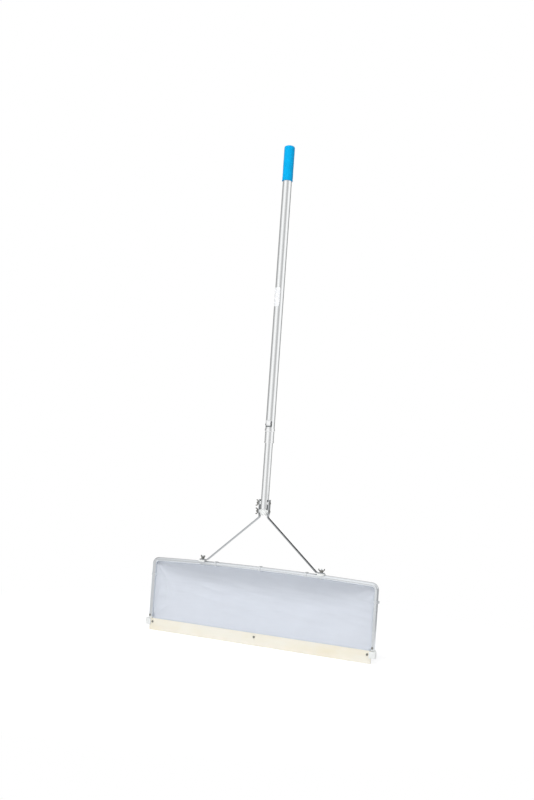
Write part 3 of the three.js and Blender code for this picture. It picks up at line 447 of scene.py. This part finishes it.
# Pipe frame: one bent pipe, its top bar bowed up a little
def make_frame_pipe():
    shape = bmesh.new()
    section = bmesh.ops.create_circle(shape, cap_ends=False, radius=PIPE_RADIUS * MM, segments=32)["verts"]
    bmesh.ops.translate(shape, verts=section, vec=Vector((-LEG_X, 0, LEG_END_Z)) * MM)
    rim = shape.edges[:]
    leg, bend_steps, bar_steps = ARC_Z - LEG_END_Z, 14, 40
    path = [
        ((0, 0, leg), None, 1), (None, -ARC_X, bend_steps), ((2 * ARC_X, 0, 0), None, bar_steps),
        (None, ARC_X, bend_steps), ((0, 0, -leg), None, 1),
    ]
    for run, arc_x, steps in path:
        if run is None:
            made = bmesh.ops.spin(
                shape, geom=rim, angle=math.pi / 2, steps=steps, axis=(0, 1, 0),
                cent=Vector((arc_x, 0, ARC_Z)) * MM, dvec=(0, 0, 0),
            )["geom_last"]
            rim = [part for part in made if isinstance(part, bmesh.types.BMEdge)]
            continue
        for _ in range(steps):
            made = bmesh.ops.extrude_edge_only(shape, edges=rim)["geom"]
            ahead = [part for part in made if isinstance(part, bmesh.types.BMVert)]
            bmesh.ops.translate(shape, verts=ahead, vec=Vector(run) * MM / steps)
            rim = [part for part in made if isinstance(part, bmesh.types.BMEdge)
                   and all(end in ahead for end in part.verts)]
    bmesh.ops.remove_doubles(shape, verts=shape.verts, dist=1e-6)
    bmesh.ops.recalc_face_normals(shape, faces=shape.faces)
    bmesh.ops.solidify(shape, geom=shape.faces, thickness=PIPE_WALL * MM)
    bmesh.ops.recalc_face_normals(shape, faces=shape.faces)
    for corner in shape.verts:
        corner.co.z += bow_at(corner.co.x / MM) * MM
        corner.co.y += FRAME_Y * MM
    mesh = mesh_of("frame_pipe_drawn", shape)
    finished("frame_pipe_drawn", mesh, pipe_metal, "head", ["frame_pipe"])


# Blade: a cut rubber strip, its free edge very slightly wavy
def make_blade():
    slices, soft_edge, free_height, wave = 120, 0.7, 18, 0.5
    shape = bmesh.new()
    made = bmesh.ops.create_cube(shape, size=1.0)["verts"]
    bmesh.ops.scale(shape, verts=made, vec=Vector((BLADE_HALF * 2, BLADE_THICKNESS, BLADE_TOP)) * MM)
    bmesh.ops.translate(shape, verts=made, vec=(0, 0, BLADE_TOP / 2 * MM))
    long_edges = [e for e in shape.edges if abs(e.verts[0].co.x - e.verts[1].co.x) > 0.1]
    bmesh.ops.bevel(
        shape, geom=long_edges, offset=soft_edge * MM, segments=3, profile=0.5, affect="EDGES", material=-1,
    )
    for i in range(1, slices):
        cut_through(shape, ((-BLADE_HALF + i * 2 * BLADE_HALF / slices) * MM, 0, 0), (1, 0, 0))
    for height in (8.0, 16.0, 24.0):
        cut_through(shape, (0, 0, height * MM), (0, 0, 1))
    for corner in shape.verts:
        free = max(0.0, 1 - corner.co.z / (free_height * MM))
        corner.co.y += free * wave * MM * noise.noise(Vector((corner.co.x * 14, 0.3, 0)))
    weighted(finished("blade_rubber", mesh_of("blade_rubber", shape), rubber, "head", ["blade"]))


# Sheet: one cloth tied behind the pipe, bellied to the back and clamped behind the blade
SHEET_COLUMNS, SHEET_ROWS = 340, 116
SHEET_FLAT = (0.785, 0.24)
SHEET_THICKNESS = 0.7
SHEET_WIDE, SHEET_NARROW = 383.0, 372.0
SHEET_TOP, SHEET_NECK = 224.0, 46.5
UNDER_BAR = BAR_Z - 7.6

# Shares of the way down where the cloth leaves the top bar and where it turns to the clamp
BAR_SHARE, NECK_SHARE = 0.05, 0.8

# Belly: its depth, how full it is over and under its deepest line, and how that line climbs towards the legs
BELLY_DEPTH, BELLY_OVER, BELLY_UNDER = 36.0, 1.05, 0.85
BELLY_SKEW, BELLY_CLIMB = 0.82, 0.26

# Way of the cloth from the belly over the flat bar and down between bar and blade, as (y, z)
CLAMP_PATH = [
    (13.5, 46.5), (11.5, 41.6), (9.5, 37.5), (7.9, 36.7), (3.8, 36.7), (3.2, 36.1), (3.2, 26.0), (3.2, 16.4),
]

# Where the belly dies out beside the legs, as a share of the way across, and how suddenly
SIDE_SHARE, SIDE_STEEPNESS = 0.992, 4

# Heights between which the cloth's edge comes in to the clamp, and places across where it goes back behind the leg
EDGE_IN_FROM, EDGE_IN_TO = 38.8, 37.6
BACK_FROM, BACK_TO = 368.5, 373.5

# Where the bands tie the cloth: a place along the top bar, or a side for a leg
TIES = [(-BAND_X, "top"), (0.0, "top"), (BAND_X, "top"), (-1, "leg"), (1, "leg")]


def clamp_place(share, part):
    """Point of the cloth under its neck. Beside the clamp it hangs straight down behind the leg's end."""
    at = part * (len(CLAMP_PATH) - 1)
    i = min(int(at), len(CLAMP_PATH) - 2)
    (y0, z0), (y1, z1) = CLAMP_PATH[i], CLAMP_PATH[i + 1]
    y, z = y0 + (y1 - y0) * (at - i), z0 + (z1 - z0) * (at - i)
    x = share * (SHEET_WIDE + (SHEET_NARROW - SHEET_WIDE) * portion(z, EDGE_IN_FROM, EDGE_IN_TO))
    return Vector((x, y + (SHEET_BACK_Y - y) * portion(abs(x), BACK_FROM, BACK_TO), z))


def sheet_place(share, down):
    """Point of the sheet in millimetres, from its place across (-1 to 1) and down (0 to 1)."""
    if down >= NECK_SHARE:
        return clamp_place(share, (down - NECK_SHARE) / (1 - NECK_SHARE))
    over_bar = max(0.0, 1 - down / BAR_SHARE)
    part = portion(down, BAR_SHARE, NECK_SHARE)
    z = UNDER_BAR + (SHEET_TOP - UNDER_BAR) * over_bar + (SHEET_NECK - UNDER_BAR) * part
    skewed = part ** (BELLY_SKEW - BELLY_CLIMB * share * share)
    belly = math.sin(math.pi * skewed) ** (BELLY_OVER if skewed < 0.5 else BELLY_UNDER)
    inside = max(0.0, 1 - (abs(share) / SIDE_SHARE) ** SIDE_STEEPNESS)
    fold = folds(share * SHEET_WIDE, z) * min(1.0, 2.4 * belly * min(1.0, 3 * inside))
    x, z = rounded_corner(share * SHEET_WIDE, z, ARC_X, ARC_Z)
    y = SHEET_BACK_Y + BELLY_DEPTH * belly * inside + fold
    return Vector((x, min(y, hugging_y(x, down)), z + (1 - part) * bow_at(x)))


def hugging_y(x, down):
    """How far back the cloth can lie beside a leg, where it's pulled round the back of the pipe."""
    inward, round_pipe, slope = max(0.0, LEG_X - abs(x)), 6.0, 0.9
    lift = PIPE_RADIUS - math.sqrt(PIPE_RADIUS ** 2 - min(inward, round_pipe) ** 2)
    pulled = max(0.0, inward - round_pipe) * slope - lift
    eased = portion(down, BAR_SHARE, BAR_SHARE + 0.04) * portion(down, NECK_SHARE, NECK_SHARE - 0.03)
    return SHEET_BACK_Y + pulled * eased if inward else math.inf


# Folds that show in the cloth: from (x, z), to (x, z), depth to the front, width, all in millimetres
FOLDS = [
    ((-374, 211), (-322, 128), 4.6, 6), ((-374, 212), (-262, 176), 2.6, 8), ((-374, 206), (-362, 120), 2.2, 4),
    ((-340, 152), (-336, 70), 2.4, 4.5), ((-321, 142), (-317, 84), 2.0, 5), ((-372, 106), (-372, 58), 1.1, 2),
    ((-366, 102), (-366, 62), 0.9, 2), ((-376, 44), (-296, 100), 3.0, 7), ((-374, 50), (-352, 88), 1.6, 4),
    ((-230, 150), (-60, 118), 1.6, 7), ((-250, 118), (-20, 96), 1.8, 8), ((20, 108), (230, 88), 1.6, 8),
    ((374, 213), (258, 192), 3.6, 7), ((374, 210), (296, 160), 4.0, 8), ((374, 205), (352, 140), 1.4, 5),
    ((374, 50), (300, 78), 1.6, 8), ((90, 74), (300, 62), 1.2, 6), ((-120, 76), (60, 66), 1.2, 6),
]


def folds(x, z):
    """Depth of the folds that fan out of the corners, hang beside the legs and run along the blade."""
    depth = 0.0
    for (x0, z0), (x1, z1), height, width in FOLDS:
        run = Vector((x1 - x0, z1 - z0))
        away = Vector((x - x0, z - z0))
        along = away.dot(run) / run.length_squared
        if not 0 < along < 1:
            continue
        # a fold widens along its way, rises fast and dies out slowly
        aside = abs(away.x * run.y - away.y * run.x) / run.length / (width * (0.5 + 1.1 * along))
        depth -= height * min(1.0, 6 * along) * (1 - along) ** 0.8 * math.exp(-aside * aside)
    streaks = noise.noise(Vector((x * 0.009, z * 0.055 + x * 0.004, 1.7)))
    wrinkles = noise.noise(Vector((x * 0.02, z * 0.16, 4.1)))
    return depth + 1.8 * streaks + 0.35 * wrinkles


def puckers(x, z):
    """Small dimples where the ties pull the cloth to the pipe."""
    deepest, size = 2.0, 12
    depth = 0.0
    for place, kind in TIES:
        if kind == "top":
            tie_x, tie_z = place, BAR_Z - size + bow_at(place)
        else:
            tie_x, tie_z = place * (LEG_X - size), LEG_BAND_Z
        depth += deepest * math.exp(-(((x - tie_x) / size) ** 2 + ((z - tie_z) / size) ** 2))
    return depth


def sheet_point(share, down):
    """Point of the finished cloth in millimetres."""
    place = sheet_place(share, down)
    place.y -= puckers(place.x, place.z) * portion(place.y, SHEET_BACK_Y, SHEET_BACK_Y + 6)
    return place


def make_sheet():
    shape = bmesh.new()
    cut = shape.loops.layers.uv.new("cut")
    bmesh.ops.create_grid(shape, x_segments=SHEET_COLUMNS, y_segments=SHEET_ROWS, size=0.5)
    for corner in shape.verts:
        # columns lie closer together towards the legs
        corner.co.x *= 1.18 - 0.72 * corner.co.x ** 2
    for face in shape.faces:
        for loop in face.loops:
            loop[cut].uv = (loop.vert.co.x * SHEET_FLAT[0], loop.vert.co.y * SHEET_FLAT[1])
    for corner in shape.verts:
        corner.co = sheet_point(2 * corner.co.x, 0.5 - corner.co.y) * MM
    bmesh.ops.recalc_face_normals(shape, faces=shape.faces)
    sheet = finished("sheet_cloth", mesh_of("sheet_cloth", shape), tarpaulin, "head", ["sheet"])
    thickened(sheet, "cloth thickness", SHEET_THICKNESS)
    return sheet


# Sewing: a hem run beside the edges and short tacks at the ties
HEM_X, HEM_TOP, HEM_FOOT, HEM_PITCH = 368.5, 210.5, 60, 4.2
TACK_ASIDE, TACK_TOP, TACK_FOOT, TACK_PITCH = 4.5, 209, 203, 1.3


def sew(shape, first, last, pitch):
    """Row of stitches between two points of the cloth, given as share across and down."""
    half_length, half_width, half_height = pitch * 0.38, 0.3, 0.66
    count = max(2, round((sheet_point(*last) - sheet_point(*first)).length / pitch))
    for i in range(count):
        at = [a + (b - a) * (i + 0.5) / count for a, b in zip(first, last)]
        ahead = [a + (b - a) * (i + 0.6) / count for a, b in zip(first, last)]
        here, along = sheet_point(*at), sheet_point(*ahead) - sheet_point(*at)
        across = along.cross(Vector((0, 1, 0))).normalized()
        normal = across.cross(along).normalized()
        turn = Matrix((along.normalized(), across, normal)).transposed().to_4x4()
        size = Matrix.Diagonal((half_length * MM, half_width * MM, half_height * MM, 1))
        bmesh.ops.create_icosphere(
            shape, subdivisions=1, radius=1, matrix=Matrix.Translation(here * MM) @ turn @ size,
        )


def down_at(z):
    """Place down the sheet at this height, above its neck."""
    return BAR_SHARE + (NECK_SHARE - BAR_SHARE) * (UNDER_BAR - z) / (UNDER_BAR - SHEET_NECK)


def make_stitches():
    shape = bmesh.new()
    edge = HEM_X / SHEET_WIDE
    sew(shape, (-edge, down_at(HEM_TOP)), (edge, down_at(HEM_TOP)), HEM_PITCH)
    for side in (-1, 1):
        sew(shape, (side * edge, down_at(HEM_TOP - 0.5)), (side * edge, down_at(HEM_FOOT)), HEM_PITCH)
    for place, kind in TIES:
        for step in (-TACK_ASIDE, TACK_ASIDE):
            if kind == "top":
                share = (place + step) / SHEET_WIDE
                sew(shape, (share, down_at(TACK_TOP)), (share, down_at(TACK_FOOT)), TACK_PITCH)
            else:
                down = down_at(LEG_BAND_Z + step)
                sew(shape, (place * edge, down), (place * (edge - 0.018), down), TACK_PITCH)
    return finished("hem_stitches", mesh_of("hem_stitches", shape), thread, "head")


# Eyelets: holes bound with thread in the cloth where the leg bands pass
def make_eyelet(side):
    ring_x, ring_radius, rim_width, rim_height = 364, 3.3, 1.2, 0.9
    share, down = side * ring_x / SHEET_WIDE, down_at(LEG_BAND_Z)
    across = (sheet_point(share + 0.006, down) - sheet_point(share - 0.006, down)).normalized()
    drop = (sheet_point(share, down + 0.008) - sheet_point(share, down - 0.008)).normalized()
    turn = Matrix((across, drop, across.cross(drop))).transposed().to_4x4()
    rim = [
        (ring_radius + rim_width * math.cos(a), rim_height * math.sin(a))
        for a in (math.radians(30 * i) for i in range(12))
    ]
    shape = placed(spun(rim, 36, closed=True), *sheet_point(share, down), turn=turn)
    name = "sheet_eyelet_" + ("left" if side < 0 else "right")
    return finished(name, mesh_of(name, shape), thread, "head")


# Screws and bolts: turned heads, rolled threads, and a cross recess in the blade screws
THREAD_PITCH, THREAD_DEPTH, TIP_CHAMFER = 0.8, 0.32, 0.5
RECESS_REACH, RECESS_HALF, RECESS_DEPTH = 1.9, 0.45, 1.1


def cut_recess(shape):
    """Fills the flat end of a head and sinks a cross into it."""
    bmesh.ops.edgeloop_fill(shape, edges=[e for e in shape.edges if len(e.link_faces) == 1])
    for place in (-RECESS_REACH, -RECESS_HALF, RECESS_HALF, RECESS_REACH):
        for normal in ((1, 0, 0), (0, 1, 0)):
            cap = [f for f in shape.faces if all(abs(v.co.z) < 1e-7 for v in f.verts)]
            around_cap = list(dict.fromkeys(part for f in cap for part in (*f.verts, *f.edges)))
            bmesh.ops.bisect_plane(
                shape, geom=cap + around_cap, plane_co=Vector(normal) * place * MM, plane_no=normal,
            )
    plus = []
    for f in shape.faces:
        x, y, z = (abs(v) / MM for v in f.calc_center_median())
        if z < 1e-4 and min(x, y) < RECESS_HALF and max(x, y) < RECESS_REACH:
            plus.append(f)
    bmesh.ops.inset_region(
        shape, faces=plus, thickness=0.1 * MM, depth=-RECESS_DEPTH * MM, use_even_offset=True,
    )
    bmesh.ops.recalc_face_normals(shape, faces=shape.faces)


def make_fastener(source, direction, head, shank, thread_mm, material, flat=0.0):
    """Bolt over its CAD solid. The direction runs from its head to its tip, and head is (radius, height).

    Where flat is given, the head ends in a flat of this radius, with a cross recess in it.
    """
    low, high = (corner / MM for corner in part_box(source))
    along = Vector(direction)
    length = abs((high - low).dot(along))
    start = (low + high) / 2 - along * length / 2
    radius, height = head
    profile = [
        (flat + (radius - flat) * math.sin(a), height - height * math.cos(a))
        for a in (math.radians(11.25 * i) for i in range(9))
    ]
    profile += [(shank, height + 0.02)]
    z = length - thread_mm
    while z < length - TIP_CHAMFER - THREAD_PITCH:
        profile += [(shank, z), (shank - THREAD_DEPTH, z + THREAD_PITCH / 2)]
        z += THREAD_PITCH
    profile += [(shank, z), (shank - TIP_CHAMFER, length), (0, length)]
    shape = spun(profile, 32)
    if flat:
        cut_recess(shape)
    placed(shape, *start, turn=along.to_track_quat("Z", "Y").to_matrix().to_4x4())
    name = source + "_turned"
    weighted(finished(name, mesh_of(name, shape), material, body_of(source), [source]))


# Label: blank film with rounded corners on the round tube
def make_label():
    low, high = (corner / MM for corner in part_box("label_blank"))
    radius, wrap, turn, corner_round = 14.14, math.radians(98), math.radians(-14), 3.0
    width, height = radius * wrap, high.z - low.z
    shape = bmesh.new()
    bmesh.ops.create_grid(shape, x_segments=48, y_segments=60, size=0.5)
    for point in shape.verts:
        x, z = rounded_corner(
            point.co.x * width, point.co.y * height, width / 2 - corner_round, height / 2 - corner_round,
        )
        angle = x / radius + turn
        point.co = Vector((
            radius * math.sin(angle), FRAME_Y - radius * math.cos(angle), (low.z + high.z) / 2 + z,
        )) * MM
    bmesh.ops.recalc_face_normals(shape, faces=shape.faces)
    source = "label_blank"
    label = finished("label_film", mesh_of("label_film", shape), film, body_of(source), [source])
    thickened(label, "film thickness", 0.2)


make_grip()
make_frame_pipe()
make_blade()
sheet = make_sheet()
stitches = make_stitches()
make_eyelet(-1)
make_eyelet(1)
make_label()

# CAD solids in their real finish, with the width of their broken edges in millimetres
for sources, material, edge_mm in [
    (("upper_tube", "lower_tube"), tube_metal, 0.0),
    (("bottom_bar",), bar_metal, 0.4),
    (("collar", "lock_lever"), cast_metal, 0.35),
    # The lock bracket's darker steel is painted shade for the gaps beside the lever
    (("lock_bracket",), bracket_steel_painted_shade, 0.35),
    (("stay_left", "stay_right"), stay_metal, 0.35),
    (("end_plug", "guide_bush", "foot_saddle_left", "foot_saddle_right", "leg_shoe_left", "leg_shoe_right",
      "stay_pad_upper_left", "stay_pad_upper_right", "stay_pad_lower_left", "stay_pad_lower_right"), nylon, 0.4),
]:
    for source in sources:
        dressed(source, material, edge_mm)

for source in sorted(solids):
    if source.startswith("handle_bolt"):
        make_fastener(source, (-1, 0, 0), (4.75, 2.4), 2.5, 14, zinc)
    elif source.startswith("foot_bolt"):
        make_fastener(source, (0, 0, 1), (4.75, 2.4), 2.5, 14, band_metal)
    elif source.startswith("blade_screw"):
        make_fastener(source, (0, 1, 0), (3.5, 2.4), 2.0, 8, zinc, flat=2.6)
    elif source.startswith(("washer", "foot_washer")):
        dressed(source, zinc, 0.2)
    elif source.startswith(("wing_nut", "blade_nut", "leg_rivet", "lock_pin")):
        dressed(source, zinc, 0.3)
    elif source.startswith("band_"):
        dressed(source, band_metal, 0.2)


# Studio, in metres

CAMERA_SIDE = math.atan2(CAMERA_PLACE[1], CAMERA_PLACE[0])
WORLD_LEVEL = 0.48
FLOOR_HALF, FLOOR_DROP = 14, 0.0004
FLOOR_GLOW = 1.3
FLOOR_FADE_FROM, FLOOR_FADE_TO, FLOOR_SHARE = 0.45, 1.3, 0.6
WALL_RADIUS, WALL_HEIGHT, WALL_LEVEL = 4.2, 5, 1.2
RING_RADIUS, RING_HEIGHT, RING_BACK, RING_GREY = 0.17, 0.3, -0.006, 0.72

# Greys of the wall by angle from the camera's side, in degrees
WALL_GREYS = [
    (-180, 0.34), (-106, 0.34), (-80, 0.66), (-56, 0.93), (-34, 0.93), (-10, 0.64), (14, 0.4), (38, 0.6),
    (56, 0.92), (76, 0.98), (98, 0.74), (120, 0.42), (134, 0.34), (140, 0.1), (164, 0.1), (170, 0.34), (180, 0.34),
]


def seen_by(tree, *kinds):
    """1 for rays of these kinds, 0 for all others."""
    rays = add_node(tree, "LightPath")
    seen, *others = (rays.outputs["Is " + kind + " Ray"] for kind in kinds)
    for other in others:
        seen = add_node(tree, "Math", {0: seen, 1: other}, operation="MAXIMUM").outputs["Value"]
    return seen


def make_world():
    """White background for the eye and for gloss, and a plain level of light on the object."""
    world = bpy.data.worlds.new("studio")
    world.use_nodes = True
    bpy.context.scene.world = world
    tree = world.node_tree
    tree.nodes.clear()
    seen = seen_by(tree, "Camera", "Glossy", "Transmission")
    strength = add_node(tree, "MapRange", {"Value": seen, "To Min": WORLD_LEVEL, "To Max": 1.0})
    back = add_node(tree, "Background", {"Color": (1, 1, 1, 1), "Strength": strength.outputs["Result"]})
    add_node(tree, "OutputWorld", {"Surface": back.outputs["Background"]})


def make_floor():
    """Plain pale floor under the blade, also when the handle is drawn out, that fades into the background."""
    shape = bmesh.new()
    bmesh.ops.create_grid(shape, x_segments=1, y_segments=1, size=FLOOR_HALF)
    bmesh.ops.translate(shape, verts=shape.verts, vec=(0, 0, -FLOOR_DROP))
    floor = bpy.data.objects.new("floor", mesh_of("floor", shape))
    bpy.context.collection.objects.link(floor)
    material = bpy.data.materials.new("pale_floor_paint")
    material.use_nodes = True
    tree = material.node_tree
    tree.nodes.clear()
    where = add_node(tree, "TexCoord").outputs["Object"]
    away = add_node(tree, "VectorMath", {0: where}, operation="LENGTH").outputs["Value"]
    fade = add_node(tree, "MapRange", {
        "Value": away, "From Min": FLOOR_FADE_FROM, "From Max": FLOOR_FADE_TO,
        "To Min": FLOOR_SHARE, "To Max": 1.0,
    }, interpolation_type="SMOOTHSTEP").outputs["Result"]
    share = add_node(tree, "Math", {0: seen_by(tree, "Camera", "Glossy"), 1: fade}, operation="MULTIPLY")
    level = add_node(tree, "MapRange", {
        "Value": fade, "From Min": FLOOR_SHARE, "To Min": FLOOR_GLOW, "To Max": 1.0,
    })
    paint = add_node(tree, "BsdfDiffuse", {"Color": hex_colour("#fbfbfb")})
    glow = add_node(tree, "Emission", {"Color": (1, 1, 1, 1), "Strength": level.outputs["Result"]})
    both = add_node(tree, "MixShader", {
        0: share.outputs["Value"], 1: paint.outputs["BSDF"], 2: glow.outputs["Emission"],
    })
    add_node(tree, "OutputMaterial", {"Surface": both.outputs["Shader"]})
    floor.data.materials.append(material)
    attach(floor, "head")


def add_softbox(name, place, aim, size, power):
    """Lamp behind a cloth, that gloss doesn't see."""
    lamp = bpy.data.lights.new(name, "AREA")
    lamp.shape = "RECTANGLE"
    lamp.size, lamp.size_y = size
    lamp.energy = power
    made = bpy.data.objects.new(name, lamp)
    made.location = place
    made.visible_glossy = False
    made.rotation_euler = (Vector(aim) - Vector(place)).to_track_quat("-Z", "Y").to_euler()
    bpy.context.collection.objects.link(made)


def gloss_only(name, shape, paint):
    """Stage piece that only gloss sees, as the pale and grey parts of a studio show in metal."""
    card = bpy.data.objects.new(name, mesh_of(name, shape))
    bpy.context.collection.objects.link(card)
    material = bpy.data.materials.new(name)
    material.use_nodes = True
    tree = material.node_tree
    tree.nodes.clear()
    color, strength = paint(tree)
    glow = add_node(tree, "Emission", {"Color": color, "Strength": strength})
    add_node(tree, "OutputMaterial", {"Surface": glow.outputs["Emission"]})
    card.data.materials.append(material)
    for ray in ("camera", "diffuse", "transmission", "volume_scatter", "shadow"):
        setattr(card, "visible_" + ray, False)


def plain_grey(grey):
    """Paint of one level."""
    return lambda tree: ((1, 1, 1, 1), grey)


def around(azimuth, distance, height):
    """Place at this angle from the camera's side of the object, to the right when positive."""
    turn = math.radians(azimuth) + CAMERA_SIDE
    return Vector((distance * math.cos(turn), distance * math.sin(turn), height))


def round_wall(radius, height, steps):
    """Upright round wall about Z."""
    shape = bmesh.new()
    bmesh.ops.create_circle(shape, cap_ends=False, radius=radius, segments=steps)
    made = bmesh.ops.extrude_edge_only(shape, edges=shape.edges[:])["geom"]
    upper = [part for part in made if isinstance(part, bmesh.types.BMVert)]
    bmesh.ops.translate(shape, verts=upper, vec=(0, 0, height))
    return shape


def wall_paint(tree):
    """Greys that go round the wall."""
    where = add_node(tree, "TexCoord").outputs["Object"]
    turned = add_node(tree, "Mapping", {"Vector": where, "Rotation": (0, 0, -CAMERA_SIDE)})
    sweep = add_node(tree, "TexGradient", {"Vector": turned.outputs["Vector"]}, gradient_type="RADIAL")
    greys = add_node(tree, "ValToRGB", {"Fac": sweep.outputs["Fac"]})
    stops = greys.color_ramp.elements
    while len(stops) < len(WALL_GREYS):
        stops.new(0.5)
    for stop, (azimuth, grey) in zip(stops, WALL_GREYS):
        stop.position = 0.5 + azimuth / 360
        stop.color = (grey, grey, grey, 1)
    return greys.outputs["Color"], WALL_LEVEL


def add_surround():
    """Round studio wall, white at the front quarters and grey behind and beside the camera."""
    gloss_only("studio_wall", round_wall(WALL_RADIUS, WALL_HEIGHT, 96), wall_paint)


def add_leg_ring():
    """Low grey arc before the left leg, which looks evenly grey in the photograph."""
    shape = round_wall(RING_RADIUS, RING_HEIGHT, 48)
    cut_through(shape, (0, RING_BACK, 0), (0, 1, 0), clear_outer=True)
    gloss_only("low_left_ring", placed(shape, -LEG_X, FRAME_Y, 0), plain_grey(RING_GREY))


def add_flag(name, place, aim, size, grey):
    """Grey card between the object and the wall."""
    shape = bmesh.new()
    bmesh.ops.create_grid(shape, x_segments=1, y_segments=1, size=0.5)
    bmesh.ops.scale(shape, verts=shape.verts, vec=(size[0], size[1], 1))
    turn = (Vector(aim) - Vector(place)).to_track_quat("-Z", "Y").to_matrix().to_4x4()
    bmesh.ops.transform(shape, verts=shape.verts, matrix=Matrix.Translation(place) @ turn)
    gloss_only(name, shape, plain_grey(grey))


make_world()
make_floor()
add_softbox("key", around(-22, 3.0, 3.65), (0, 0, 0.3), (2.2, 1.8), 107)
add_softbox("fill", around(-30, 3.4, 0.9), (0, 0, 0.4), (1.8, 1.6), 6)
add_surround()
add_leg_ring()
add_flag("low_right_card", (0.95, 0.35, 0.2), (0.4, 0.3, 0.2), (1.7, 0.4), 0.45)
add_flag("low_front_card", (0.2, -0.75, 0.001), (0.2, -0.75, 1), (1.7, 1.2), 0.79)
add_flag("high_flag", around(158, 4.0, 3.3), (0, 0, 3.3), (4.4, 2.8), 0.04)

bpy.context.scene.view_settings.view_transform = "Standard"
